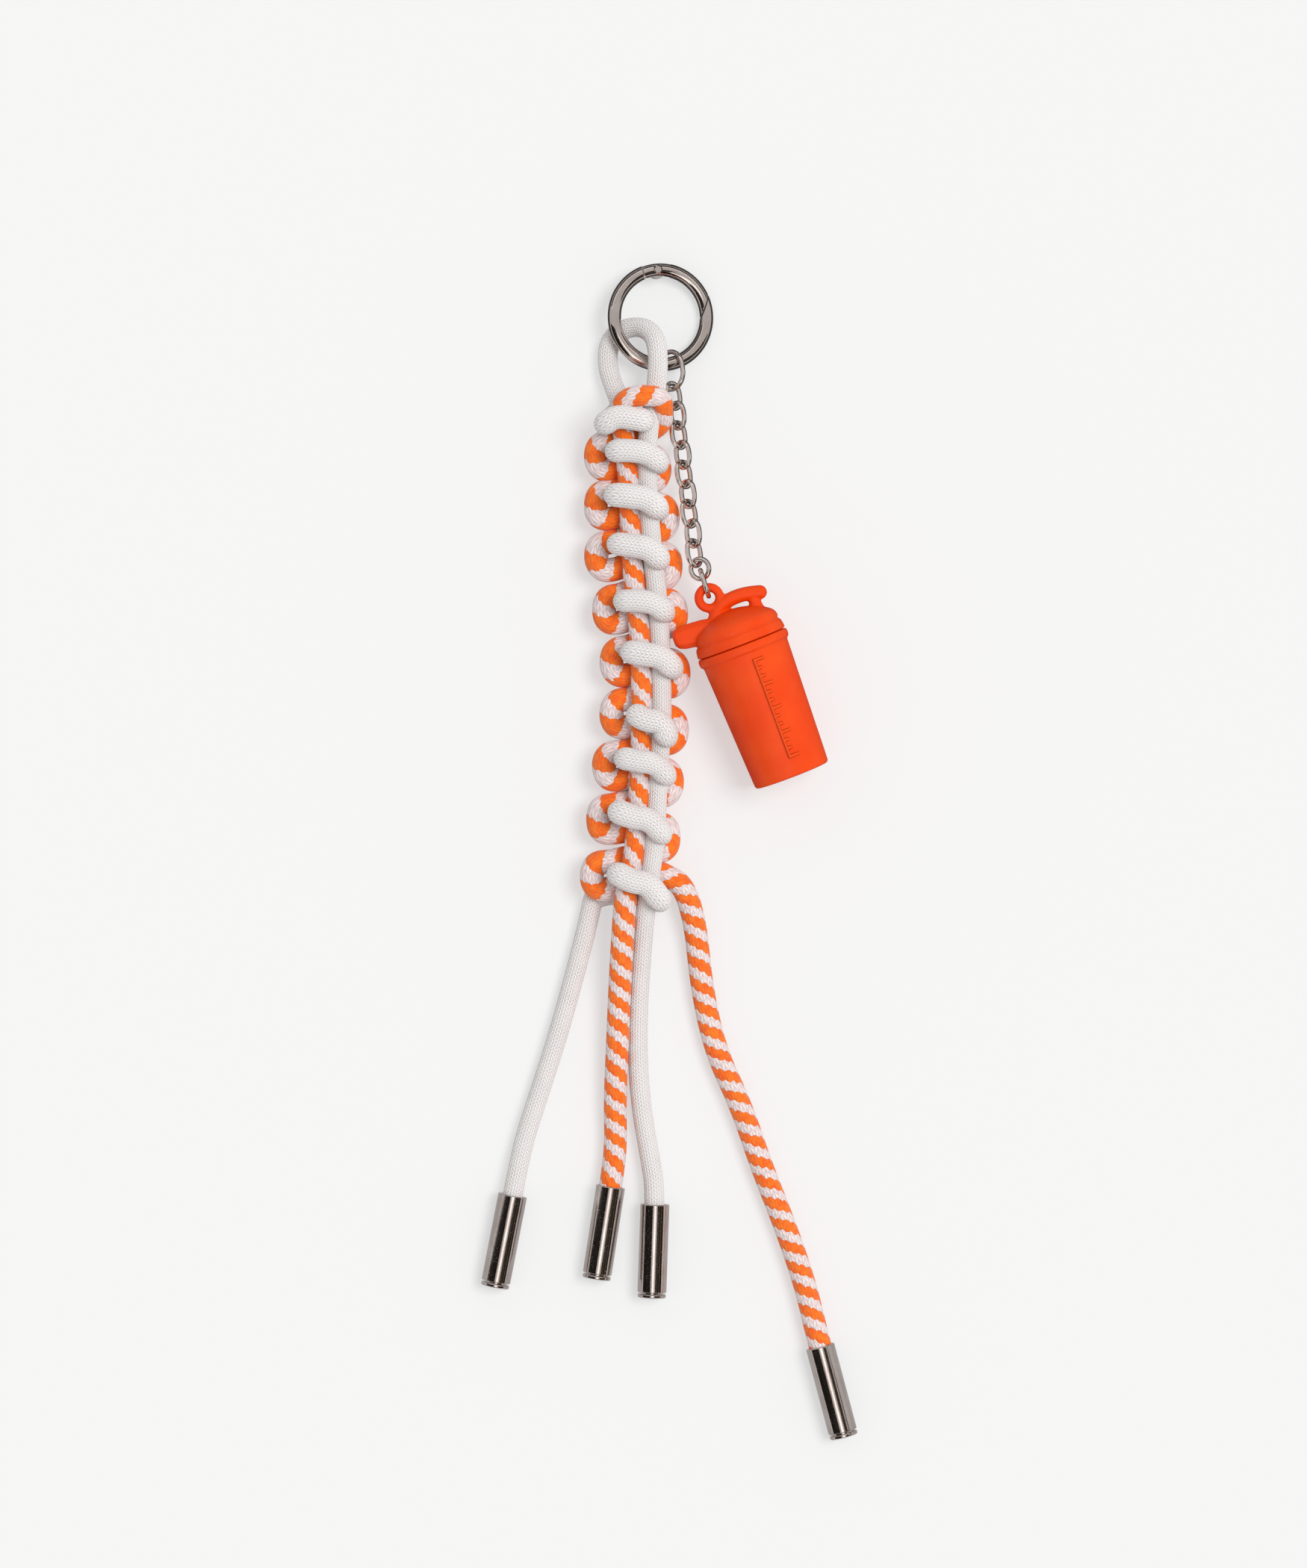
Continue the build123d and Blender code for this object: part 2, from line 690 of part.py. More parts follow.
def build():
    """Writes every piece of the charm."""
    os.makedirs("parts", exist_ok=True)
    braid()
    tail(LEFT_TAIL, LEFT_FERRULE_END, WHITE_D, "left_white")
    tail(CENTRE_STRIPED_TAIL, CENTRE_STRIPED_FERRULE_END, STRIPED_TAIL_D, "centre_striped")
    tail(CENTRE_WHITE_TAIL, CENTRE_WHITE_FERRULE_END, WHITE_D, "centre_white")
    tail(RIGHT_TAIL, RIGHT_FERRULE_END, STRIPED_TAIL_D, "right_striped")
    ring()
    chain()
    bottle(eyelet_centre(chain_places()[-1]))


if __name__ == "__main__":
    build()
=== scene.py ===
"""A knotted two-cord bag charm on a spring-gate ring, with ferruled tails, a cable chain and a
mini shaker bottle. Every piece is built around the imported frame, in metres, +Z up and the
ring towards +Y."""

import json
import logging
import math
from dataclasses import dataclass
from enum import Enum
from typing import Callable, Iterable, Sequence

import bmesh
import bpy
import numpy as np
from mathutils import Matrix, Vector


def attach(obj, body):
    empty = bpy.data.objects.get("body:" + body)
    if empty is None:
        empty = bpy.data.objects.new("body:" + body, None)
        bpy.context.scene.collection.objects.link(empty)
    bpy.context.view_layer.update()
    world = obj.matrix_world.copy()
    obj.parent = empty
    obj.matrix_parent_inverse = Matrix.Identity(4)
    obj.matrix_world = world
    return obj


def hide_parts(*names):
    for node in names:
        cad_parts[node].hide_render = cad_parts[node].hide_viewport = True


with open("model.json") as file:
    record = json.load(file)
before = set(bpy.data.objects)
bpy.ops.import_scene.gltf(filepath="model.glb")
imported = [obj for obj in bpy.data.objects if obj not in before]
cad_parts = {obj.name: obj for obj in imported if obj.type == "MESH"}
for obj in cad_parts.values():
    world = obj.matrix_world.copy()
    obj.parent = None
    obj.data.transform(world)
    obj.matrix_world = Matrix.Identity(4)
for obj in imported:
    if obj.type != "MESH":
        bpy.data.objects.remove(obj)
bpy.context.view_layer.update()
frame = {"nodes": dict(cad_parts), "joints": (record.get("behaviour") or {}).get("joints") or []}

log = logging.getLogger("charm")

Colour = tuple[float, float, float]
Point = tuple[float, float, float]
Face = tuple[int, ...]
Shape = tuple[np.ndarray, list[Face]]
MM = 0.001


# ------------------------------------------------------------------ shader maths


class Value:
    """One shader value; its operators add Math nodes to the material that it belongs to."""

    def __init__(self, recipe: "Recipe", socket: bpy.types.NodeSocket) -> None:
        """Wraps an output socket of a recipe's node."""
        self.recipe = recipe
        self.socket = socket

    def _math(self, operation: str, *others: "Value | float") -> "Value":
        """Adds one Math node with this value first."""
        return self.recipe.node("ShaderNodeMath", {"operation": operation}, (self, *others))

    def _reflected(self, operation: str, other: float) -> "Value":
        """Adds one Math node with this value second."""
        return self.recipe.node("ShaderNodeMath", {"operation": operation}, (other, self))

    def __add__(self, other: "Value | float") -> "Value":
        """This value plus another."""
        return self._math("ADD", other)

    __radd__ = __add__

    def __sub__(self, other: "Value | float") -> "Value":
        """This value less another."""
        return self._math("SUBTRACT", other)

    def __rsub__(self, other: float) -> "Value":
        """A number less this value."""
        return self._reflected("SUBTRACT", other)

    def __mul__(self, other: "Value | float") -> "Value":
        """This value times another."""
        return self._math("MULTIPLY", other)

    __rmul__ = __mul__

    def __truediv__(self, other: "Value | float") -> "Value":
        """This value over another."""
        return self._math("DIVIDE", other)

    def __rtruediv__(self, other: float) -> "Value":
        """A number over this value."""
        return self._reflected("DIVIDE", other)

    def __pow__(self, other: "Value | float") -> "Value":
        """This value to a power."""
        return self._math("POWER", other)

    def __abs__(self) -> "Value":
        """The size of this value."""
        return self._math("ABSOLUTE")

    def sine(self) -> "Value":
        """The sine of this value, in radians."""
        return self._math("SINE")

    def floor(self) -> "Value":
        """The whole number below this value."""
        return self._math("FLOOR")

    def fraction(self) -> "Value":
        """What is left of this value above its whole number."""
        return self._math("FRACT")

    def step(self, low: float, high: float) -> "Value":
        """A smooth step from 0 at low to 1 at high."""
        settings = {"interpolation_type": "SMOOTHSTEP"}
        return self.recipe.node("ShaderNodeMapRange", settings, (self, low, high, 0.0, 1.0))

    def stairs(self, softness: float) -> "Value":
        """Whole steps with soft risers, softness being the riser's share of each step."""
        riser = self.fraction().step(0.5 - softness / 2, 0.5 + softness / 2)
        return self.floor() + riser


class Recipe:
    """One node material and the nodes that make it."""

    def __init__(self, name: str) -> None:
        """Starts an empty material with a Principled shader and an output.

        Args:
            name: The material's name.
        """
        self.material = bpy.data.materials.new(name)
        self.material.use_nodes = True
        self.tree = self.material.node_tree
        self.tree.nodes.clear()
        self.output = self.tree.nodes.new("ShaderNodeOutputMaterial")
        self.shader = self.tree.nodes.new("ShaderNodeBsdfPrincipled")
        self.tree.links.new(self.shader.outputs[0], self.output.inputs[0])

    def feed(self, socket: bpy.types.NodeSocket, value: object) -> None:
        """Links a value to a socket, or sets a number or colour on it.

        Args:
            socket: The input to fill.
            value: A Value, a number, or a tuple.
        """
        if isinstance(value, Value):
            self.tree.links.new(value.socket, socket)
        elif isinstance(value, tuple) and socket.type == "RGBA":
            socket.default_value = (*value, 1.0)
        else:
            socket.default_value = value

    def node(
        self,
        kind: str,
        settings: dict[str, object] | None = None,
        values: Sequence[object] | dict[str | int, object] = (),
        output: str | int = 0,
    ) -> Value:
        """Adds any node.

        Args:
            kind: The node's type.
            settings: Its properties, set before its inputs.
            values: What its inputs take, in order or by name.
            output: The output to hand back.

        Returns:
            That output as a Value.
        """
        made = self.tree.nodes.new(kind)
        for name, setting in (settings or {}).items():
            setattr(made, name, setting)
        pairs = values.items() if isinstance(values, dict) else enumerate(values)
        for key, value in pairs:
            self.feed(made.inputs[key], value)
        return Value(self, made.outputs[output])

    def attribute(self, name: str) -> Value:
        """A number stored on the mesh."""
        return self.node("ShaderNodeAttribute", {"attribute_name": name}, output="Fac")

    def place(self) -> Value:
        """The surface's own coordinates, in metres."""
        return self.node("ShaderNodeTexCoord", output="Object")

    def noise(self, scale: float, detail: float = 2.0) -> Value:
        """Soft noise from 0 to 1 at so many patches a metre."""
        values = {"Vector": self.place(), "Scale": scale, "Detail": detail}
        return self.node("ShaderNodeTexNoise", {}, values, output="Fac")

    def blend(self, share: Value, first: object, second: object) -> Value:
        """Blends two colours.

        Args:
            share: How much of the second shows, from 0 to 1.
            first: A colour.
            second: Another.

        Returns:
            The blended colour.
        """
        settings = {"data_type": "RGBA", "blend_type": "MIX"}
        values = {0: share, 6: first, 7: second}
        return self.node("ShaderNodeMix", settings, values, output=2)

    def shade(self, colour: object, amount: Value) -> Value:
        """Multiplies a colour by a grey.

        Args:
            colour: The colour.
            amount: The grey, 1 leaving the colour as it is.

        Returns:
            The shaded colour.
        """
        grey = self.node("ShaderNodeCombineColor", {}, (amount, amount, amount))
        settings = {"data_type": "RGBA", "blend_type": "MULTIPLY"}
        return self.node("ShaderNodeMix", settings, {0: 1.0, 6: colour, 7: grey}, output=2)

    def bump(self, height: Value, depth: float) -> Value:
        """A bumped normal, depth in metres where height is 1."""
        values = {"Strength": 1.0, "Distance": depth, "Height": height}
        return self.node("ShaderNodeBump", {}, values)

    def finish(self, **inputs: object) -> bpy.types.Material:
        """Fills the shader's inputs and hands back the material.

        Args:
            inputs: The shader's inputs, with _ in their names for a space.

        Returns:
            The finished material.
        """
        for name, value in inputs.items():
            self.feed(self.shader.inputs[name.replace("_", " ")], value)
        return self.material


# ------------------------------------------------------------------ finishes

ALONG = "along"
ROUND_COS = "round_cos"
ROUND_SIN = "round_sin"
STARTS = "stripe_starts"
RAISED = "raised"


def turn_of(recipe: Recipe) -> Value:
    """The place round a cord, from -0.5 to 0.5."""
    values = (recipe.attribute(ROUND_SIN), recipe.attribute(ROUND_COS))
    return recipe.node("ShaderNodeMath", {"operation": "ARCTAN2"}, values) / (2 * math.pi)


def herringbone(turn: Value, along: Value, columns: int, stitch: float) -> Value:
    """The height of braided yarn: slanted stitches in columns that lean in turn.

    Args:
        turn: The place round the cord, one whole turn from -0.5 to 0.5.
        along: The place along it, in metres.
        columns: Even number of stitch columns round it.
        stitch: Length of a stitch, in metres.

    Returns:
        The height, from 0 between yarns to 1 on top of them.
    """
    column = turn * columns
    across = column.fraction()
    lean = ((column * 0.5).fraction().step(0.499, 0.501)) * 2.0 - 1.0
    slant = (across - 0.5) * lean * 0.9
    beat = (along / stitch + slant).fraction()
    yarn = (beat * math.pi).sine()
    rib = (across * math.pi).sine()
    return (yarn ** 0.6) * (rib ** 0.5)


@dataclass(frozen=True)
class PlainBraid:
    """White braided polyester cord."""

    yarn: Colour = (0.88, 0.855, 0.845)
    # Darker colour painted between the yarns as shade.
    hollow_shade: Colour = (0.50, 0.45, 0.45)
    columns: int = 22
    stitch: float = 0.86 * MM
    depth: float = 0.20 * MM

    def material(self) -> bpy.types.Material:
        """Builds the finish.

        Returns:
            The material.
        """
        recipe = Recipe("white braided cord")
        turn = turn_of(recipe)
        along = recipe.attribute(ALONG)
        height = herringbone(turn, along, self.columns, self.stitch)
        worn = recipe.noise(260.0, 3.0)
        fibre = recipe.noise(4200.0)
        # Painted shade between the yarns: the hollow colour shows where the yarn is low, with more of
        # it in random patches.
        share = (height * 0.85 + worn * 0.3).step(0.0, 0.62)
        colour = recipe.blend(share, self.hollow_shade, self.yarn)
        relief = height + fibre * 0.25
        return recipe.finish(
            Base_Color=colour,
            Roughness=0.86 - height * 0.16,
            Normal=recipe.bump(relief, self.depth),
            Specular_IOR_Level=0.35,
            Sheen_Weight=0.35,
            Sheen_Roughness=0.45,
            Sheen_Tint=(1.0, 0.97, 0.97),
            Subsurface_Weight=0.12,
            Subsurface_Radius=(0.0012, 0.0008, 0.0007),
            Subsurface_Scale=1.0,
        )


@dataclass(frozen=True)
class StripedBraid:
    """Cord braided from orange and pinkish white yarn in winding bands.

    The edge is where a band's wave turns from white to orange, the riser how soft its steps
    are, and wander and ragged how far its edges stray, as shares of a band.
    """

    orange: Colour = (1.0, 0.205, 0.008)
    orange_deep: Colour = (0.95, 0.135, 0.005)
    white: Colour = (0.74, 0.575, 0.57)
    # Paler white, painted as a highlight on the yarn tops and spread in random patches.
    white_highlight: Colour = (0.86, 0.755, 0.745)
    band: float = 5.3 * MM
    edge: tuple[float, float] = (-0.20, 0.0)
    riser: float = 0.62
    wander: float = 0.22
    ragged: float = 0.09
    columns: int = 10
    stitch: float = 1.7 * MM
    depth: float = 0.22 * MM

    def material(self, name: str) -> bpy.types.Material:
        """Builds the finish under a name.

        Args:
            name: The material's name.

        Returns:
            The material.
        """
        recipe = Recipe(name)
        turn = turn_of(recipe)
        along = recipe.attribute(ALONG)
        wander = (recipe.noise(300.0) - 0.5) * self.wander
        ragged = (recipe.noise(1400.0) - 0.5) * self.ragged
        stepped = (turn * self.columns).stairs(self.riser) / self.columns
        phase = along / self.band + stepped * recipe.attribute(STARTS) + wander + ragged
        wave = (phase * (2 * math.pi)).sine()
        orange_share = wave.step(*self.edge)
        height = herringbone(turn, along, self.columns * 2, self.stitch)
        patch = recipe.noise(700.0)
        warm = recipe.blend(patch.step(0.3, 0.7), self.orange_deep, self.orange)
        # Painted highlight: the paler white shows on the yarn tops, and also in random patches.
        lit = (patch * 0.5 + height * 0.5).step(0.25, 0.75)
        pale = recipe.blend(lit, self.white, self.white_highlight)
        # Painted shade: the colour darkens between the yarns, where the yarn is low.
        colour = recipe.shade(recipe.blend(orange_share, pale, warm), height * 0.12 + 0.90)
        fibre = recipe.noise(5200.0)
        relief = height * 0.5 + abs(wave) ** 0.5 * 0.9 + fibre * 0.14
        return recipe.finish(
            Base_Color=colour,
            Roughness=0.66 - height * 0.14,
            Normal=recipe.bump(relief, self.depth),
            Specular_IOR_Level=0.45,
            Sheen_Weight=0.25,
            Sheen_Roughness=0.4,
            Subsurface_Weight=0.06,
            Subsurface_Radius=(0.0010, 0.0004, 0.0002),
            Subsurface_Scale=1.0,
        )


@dataclass(frozen=True)
class DarkNickel:
    """Polished dark nickel, with faint drawn lines and small marks of wear."""

    name: str
    metal: Colour = (0.69, 0.615, 0.58)
    shadow: Colour = (0.60, 0.52, 0.485)
    roughness: float = 0.085
    marks: float = 0.012 * MM

    def material(self) -> bpy.types.Material:
        """Builds the finish.

        Returns:
            The material.
        """
        recipe = Recipe(self.name)
        cloud = recipe.noise(240.0, 3.0)
        fine = recipe.noise(2600.0, 4.0)
        pits = recipe.noise(3800.0, 1.0).step(0.70, 0.78)
        colour = recipe.blend(cloud.step(0.3, 0.7), self.shadow, self.metal)
        rough = cloud * 0.05 + fine * 0.04 + pits * 0.2 + self.roughness - 0.04
        relief = fine * 0.35 - pits * 0.65
        return recipe.finish(
            Base_Color=colour,
            Roughness=rough,
            Metallic=1.0,
            Normal=recipe.bump(relief, self.marks),
        )


@dataclass(frozen=True)
class SoftMould:
    """Satin moulded plastic, with a painted highlight on its raised lines and painted shade along their
    sides.
    """

    name: str
    colour: Colour = (0.80, 0.050, 0.0)
    pale: Colour = (0.84, 0.072, 0.003)
    # Paler colour painted on the tops of the raised lines as a highlight.
    raised_highlight: Colour = (0.86, 0.080, 0.004)
    roughness: float = 0.40
    # How much painted shade darkens the sides of the raised lines.
    outline: float = 0.35
    texture: float = 0.02 * MM

    def material(self) -> bpy.types.Material:
        """Builds the finish.

        Returns:
            The material.
        """
        recipe = Recipe(self.name)
        cloud = recipe.noise(110.0, 3.0)
        grain = recipe.noise(5200.0)
        orange_peel = recipe.noise(900.0)
        raised = recipe.attribute(RAISED)
        plain = recipe.blend(cloud.step(0.25, 0.75), self.colour, self.pale)
        # Painted shade along the sides of the raised lines, painted highlight on their tops.
        edge = raised * (1.0 - raised) * 4.0
        highlighted = recipe.blend(raised, plain, self.raised_highlight)
        colour = recipe.shade(highlighted, 1.0 - edge * self.outline)
        rough = orange_peel * 0.10 + grain * 0.05 + self.roughness - 0.08
        return recipe.finish(
            Base_Color=colour,
            Roughness=rough,
            Normal=recipe.bump(orange_peel * 0.7 + grain * 0.3, self.texture),
            Specular_IOR_Level=0.28,
            Subsurface_Weight=0.10,
            Subsurface_Radius=(0.0015, 0.0004, 0.0002),
            Subsurface_Scale=1.0,
        )


@dataclass(frozen=True)
class PaleFloor:
    """Smooth pale board."""

    colour: Colour = (0.373, 0.373, 0.373)
    glow: float = 0.50

    def material(self) -> bpy.types.Material:
        """Builds the finish.

        Returns:
            The material.
        """
        recipe = Recipe("pale board")
        tone = recipe.noise(3.0)
        near = tuple(c * 0.995 for c in self.colour)
        colour = recipe.blend(tone, near, self.colour)
        return recipe.finish(
            Base_Color=colour,
            Roughness=0.95,
            Specular_IOR_Level=0.0,
            Emission_Color=(1.0, 1.0, 1.0),
            Emission_Strength=self.glow,
        )


# ------------------------------------------------------------------ mesh helpers


def new_mesh_object(
    name: str, points: np.ndarray, faces: Sequence[Face], smooth: bool = True
) -> bpy.types.Object:
    """Makes a mesh object from points and faces.

    Args:
        name: The piece's name.
        points: Corner points, in metres.
        faces: Corner numbers of each face.
        smooth: Whether the faces are shaded smooth.

    Returns:
        The linked object.
    """
    mesh = bpy.data.meshes.new(name)
    mesh.from_pydata([tuple(p) for p in points], [], faces)
    mesh.validate()
    mesh.polygons.foreach_set("use_smooth", [smooth] * len(mesh.polygons))
    mesh.update()
    piece = bpy.data.objects.new(name, mesh)
    bpy.context.scene.collection.objects.link(piece)
    return piece


def store(mesh: bpy.types.Mesh, name: str, values: np.ndarray) -> None:
    """Keeps one number for each point on a mesh."""
    made = mesh.attributes.new(name, "FLOAT", "POINT")
    made.data.foreach_set("value", values.astype(np.float32))


def smooth_line(name: str, controls: Sequence[Point], fineness: int = 16) -> np.ndarray:
    """The points of a smooth NURBS spline.

    Args:
        name: A name for the curve.
        controls: Its control points, in metres.
        fineness: Points for each control point.

    Returns:
        The points along it.
    """
    curve = bpy.data.curves.new(name, "CURVE")
    curve.dimensions = "3D"
    curve.resolution_u = fineness
    spline = curve.splines.new("NURBS")
    spline.points.add(len(controls) - 1)
    for knot, place in zip(spline.points, controls):
        knot.co = (*place, 1.0)
    spline.use_endpoint_u = True
    spline.order_u = 3
    holder = bpy.data.objects.new(name, curve)
    mesh = bpy.data.meshes.new_from_object(holder)
    line = np.array([v.co for v in mesh.vertices], float)
    bpy.data.objects.remove(holder)
    bpy.data.meshes.remove(mesh)
    return line


def respaced(line: np.ndarray, gap: float) -> tuple[np.ndarray, np.ndarray]:
    """Spaces a line's points evenly.

    Args:
        line: Its points, in two or three dimensions.
        gap: The distance wanted between them.

    Returns:
        The new points, and how far along the line each one is.
    """
    steps = np.linalg.norm(np.diff(line, axis=0), axis=1)
    far = np.concatenate([[0.0], np.cumsum(steps)])
    count = max(8, int(round(far[-1] / gap)))
    wanted = np.linspace(0.0, far[-1], count + 1)
    points = np.stack([np.interp(wanted, far, along) for along in line.T], axis=1)
    return points, wanted


def carried_frames(line: np.ndarray) -> tuple[np.ndarray, np.ndarray, np.ndarray]:
    """Carries side directions along a line without twisting them round it.

    Args:
        line: Its points.

    Returns:
        Directions along the line, and two side directions.
    """
    ahead = np.gradient(line, axis=0)
    ahead /= np.linalg.norm(ahead, axis=1)[:, None]
    side = np.zeros_like(ahead)
    start = np.cross(ahead[0], (0.0, 0.0, 1.0))
    if np.linalg.norm(start) < 1e-6:
        start = np.array((1.0, 0.0, 0.0))
    side[0] = np.cross(start / np.linalg.norm(start), ahead[0])
    for i in range(1, len(line)):
        kept = side[i - 1] - ahead[i] * (side[i - 1] @ ahead[i])
        side[i] = kept / np.linalg.norm(kept)
    return ahead, side, np.cross(ahead, side)


def spokes(side: np.ndarray, other: np.ndarray, angle: np.ndarray) -> np.ndarray:
    """Unit directions out from each point of a line, at so many angles round it."""
    return side[:, None] * np.cos(angle)[None, :, None] + other[:, None] * np.sin(angle)[None, :, None]


def even_angles(sides: int) -> np.ndarray:
    """So many angles round a circle, in radians."""
    return np.arange(sides) * (2 * math.pi / sides)


def band_faces(rows: int, sides: int, closed: bool = False) -> list[Face]:
    """The four-cornered faces between rings of points.

    Args:
        rows: How many rings.
        sides: Points in each ring.
        closed: Whether the last ring joins the first.

    Returns:
        Corner numbers of each face.
    """
    faces: list[Face] = []
    for row in range(rows if closed else rows - 1):
        here, there = row * sides, (row + 1) % rows * sides
        for j in range(sides):
            k = (j + 1) % sides
            faces.append((here + j, here + k, there + k, there + j))
    return faces


def fan_faces(rows: int, sides: int, start: int, end: int) -> list[Face]:
    """The three-cornered faces that close the first and last ring.

    Args:
        rows: How many rings.
        sides: Points in each ring.
        start: The point that the first ring closes to.
        end: The point that the last ring closes to.

    Returns:
        Corner numbers of each face.
    """
    last = (rows - 1) * sides
    faces: list[Face] = []
    for j in range(sides):
        k = (j + 1) % sides
        faces.append((start, k, j))
        faces.append((end, last + j, last + k))
    return faces


Swell = Callable[[np.ndarray, np.ndarray], np.ndarray]


def tube(
    name: str,
    line: np.ndarray,
    radius: float,
    swell: Swell,
    gap: float = 0.35 * MM,
    sides: int = 36,
    flatten: float = 1.0,
) -> bpy.types.Object:
    """A round cord along a line, closed at its ends, with its place along and round it kept.

    Args:
        name: The piece's name.
        line: Points of its centre line.
        radius: Its radius.
        swell: Gives the radius factor from the points and the distance along.
        gap: Distance between rings of points.
        sides: Points in each ring.
        flatten: Its thickness in height over its thickness sideways.

    Returns:
        The cord.
    """
    points, far = respaced(line, gap)
    _, side, other = carried_frames(points)
    angle = even_angles(sides)
    out = spokes(side, other, angle)
    squeeze = 1.0 - (1.0 - flatten) * out[:, :, 2:3] ** 2
    rings = points[:, None] + out * squeeze * (radius * swell(points, far))[:, None, None]
    corners = np.vstack([rings.reshape(-1, 3), points[0], points[-1]])
    count = len(points)
    faces = band_faces(count, sides) + fan_faces(count, sides, count * sides, count * sides + 1)
    piece = new_mesh_object(name, corners, faces)
    store(piece.data, ALONG, np.append(np.repeat(far, sides), [far[0], far[-1]]))
    store(piece.data, ROUND_COS, np.append(np.tile(np.cos(angle), count), [1.0, 1.0]))
    store(piece.data, ROUND_SIN, np.append(np.tile(np.sin(angle), count), [0.0, 0.0]))
    return piece


def turned(outline: np.ndarray, sides: int) -> Shape:
    """A closed shape turned from an outline of (distance down, radius) points.

    Args:
        outline: The outline from the axis at the top round to the axis at the bottom.
        sides: Points in each ring.

    Returns:
        Points in the bottle's own frame, and faces.
    """
    angle = even_angles(sides)
    inner = outline[1:-1]
    rows = len(inner)
    ring = np.stack([np.cos(angle), np.sin(angle)], axis=1)
    flat = inner[:, None, 1:2] * ring[None]
    down = np.repeat(inner[:, 0], sides).reshape(rows, sides, 1)
    points = np.concatenate([flat, down], axis=2).reshape(-1, 3)
    ends = [(0.0, 0.0, outline[0, 0]), (0.0, 0.0, outline[-1, 0])]
    faces = band_faces(rows, sides) + fan_faces(rows, sides, rows * sides, rows * sides + 1)
    return np.vstack([points, ends]), faces


def rod(line: np.ndarray, radius: float, foot: float = 1.0, gap: float = 0.3, sides: int = 24) -> Shape:
    """A round rod along a line; a line that ends where it starts makes a closed link.

    Args:
        line: The line, in the units wanted.
        radius: Its radius.
        foot: How many times as thick it is at its far end.
        gap: Distance between its rings.
        sides: Points in each ring.

    Returns:
        Points and faces.
    """
    closed = np.linalg.norm(line[0] - line[-1]) < radius / 1000
    points, far = respaced(line, gap)
    _, side, other = carried_frames(points)
    if closed:
        points, far, side, other = points[:-1], far[:-1], side[:-1], other[:-1]
    thick = radius * (1 + (foot - 1) * far / far[-1])
    rows = len(points)
    faces = band_faces(rows, sides, closed)
    if not closed:
        ends = np.clip(1 - np.minimum(far, far[-1] - far) / radius, 0.0, 1.0)
        thick = thick * np.sqrt(np.clip(1 - ends**2, 0.02, 1.0))
        last = (rows - 1) * sides
        faces.append(tuple(range(sides - 1, -1, -1)))
        faces.append(tuple(range(last, last + sides)))
    out = spokes(side, other, even_angles(sides))
    return (points[:, None] + out * thick[:, None, None]).reshape(-1, 3), faces


def moulded(piece: bpy.types.Object, voxel: float, passes: int) -> None:
    """Melts a piece's overlapping shapes into one skin with soft edges.

    Args:
        piece: The piece, made of closed shapes.
        voxel: Size of the skin's faces.
        passes: Smoothing passes.
    """
    skin = piece.modifiers.new("skin", "REMESH")
    skin.mode = "VOXEL"
    skin.voxel_size = voxel
    skin.use_smooth_shade = True
    soften = piece.modifiers.new("soften", "SMOOTH")
    soften.factor = 0.5
    soften.iterations = passes
    graph = bpy.context.evaluated_depsgraph_get()
    melted = bpy.data.meshes.new_from_object(piece.evaluated_get(graph))
    piece.modifiers.clear()
    piece.data = melted
    melted.polygons.foreach_set("use_smooth", [True] * len(melted.polygons))


def dress(piece: bpy.types.Object, material: bpy.types.Material) -> None:
    """Gives a piece its finish; on a carried-over piece only its own slots change.

    Args:
        piece: The piece.
        material: Its finish.
    """
    if not piece.material_slots:
        piece.data.materials.append(material)
    for place in piece.material_slots:
        place.link = "OBJECT"
        place.material = material


def millimetres(points: Iterable[Point]) -> list[Point]:
    """Points given in millimetres, in metres."""
    return [tuple(c * MM for c in p) for p in points]


# ------------------------------------------------------------------ cords


class CordKind(Enum):
    """The two cords, each used to pick the finish of its tails."""

    WHITE = "white_cord"
    STRIPED = "striped_cord"


WHITE_R = 2.3 * MM
STRIPED_R = 2.4 * MM
BACK_Z = 2.4
LOOP_Z = 6.2
CORE_Z = 10.4
FRONT_Z = 14.7

# Front bars: left x, left y, right x, right y of their outermost points, in mm.
FRONT_BARS = [
    (-25.08, 37.67, -11.48, 38.77),
    (-22.68, 31.47, -8.18, 29.37),
    (-22.88, 21.37, -8.08, 18.57),
    (-22.28, 10.17, -7.88, 7.07),
    (-20.78, -2.93, -6.68, -5.03),
    (-19.08, -14.63, -4.78, -17.93),
    (-17.68, -29.03, -6.18, -33.63),
    (-20.58, -39.03, -6.38, -42.43),
    (-21.98, -51.23, -7.38, -55.93),
    (-22.18, -65.33, -7.68, -71.23),
]
# Side loops: outermost x and middle y, in mm.
LEFT_LOOPS = [
    (-27.28, 30.77),
    (-27.28, 19.47),
    (-27.18, 7.67),
    (-25.38, -4.53),
    (-23.68, -16.63),
    (-23.68, -28.53),
    (-25.38, -40.63),
    (-26.78, -52.83),
    (-28.18, -65.93),
]
RIGHT_LOOPS = [
    (-7.68, 27.87),
    (-5.68, 16.67),
    (-5.08, 5.47),
    (-3.78, -5.43),
    (-3.28, -19.23),
    (-3.58, -32.23),
    (-4.78, -44.23),
    (-5.48, -57.03),
]
LOOP_END = (-12.18, 39.57, CORE_Z)
LEFT_LEG_END = (-18.58, 42.37, 4.8)
WHITE_LOOP = [
    LEFT_LEG_END,
    (-21.08, 47.77, 3.0),
    (-22.38, 53.37, 2.4),
    (-21.28, 58.37, 2.4),
    (-17.88, 60.57, 2.9),
    (-13.88, 60.77, 4.6),
    (-11.18, 58.37, 7.0),
    (-10.48, 54.57, 8.7),
    (-10.48, 50.37, 9.0),
    (-11.08, 44.87, 9.7),
    LOOP_END,
]
WHITE_CORE = [
    (-13.08, 32.87, CORE_Z),
    (-12.78, 20.37, CORE_Z),
    (-11.88, 9.37, CORE_Z),
    (-10.48, -3.63, CORE_Z),
    (-9.78, -16.13, CORE_Z),
    (-9.58, -29.63, CORE_Z),
    (-10.48, -43.63, CORE_Z),
    (-11.08, -56.63, CORE_Z),
    (-12.28, -66.13, CORE_Z),
    (-13.48, -74.33, 8.6),
]
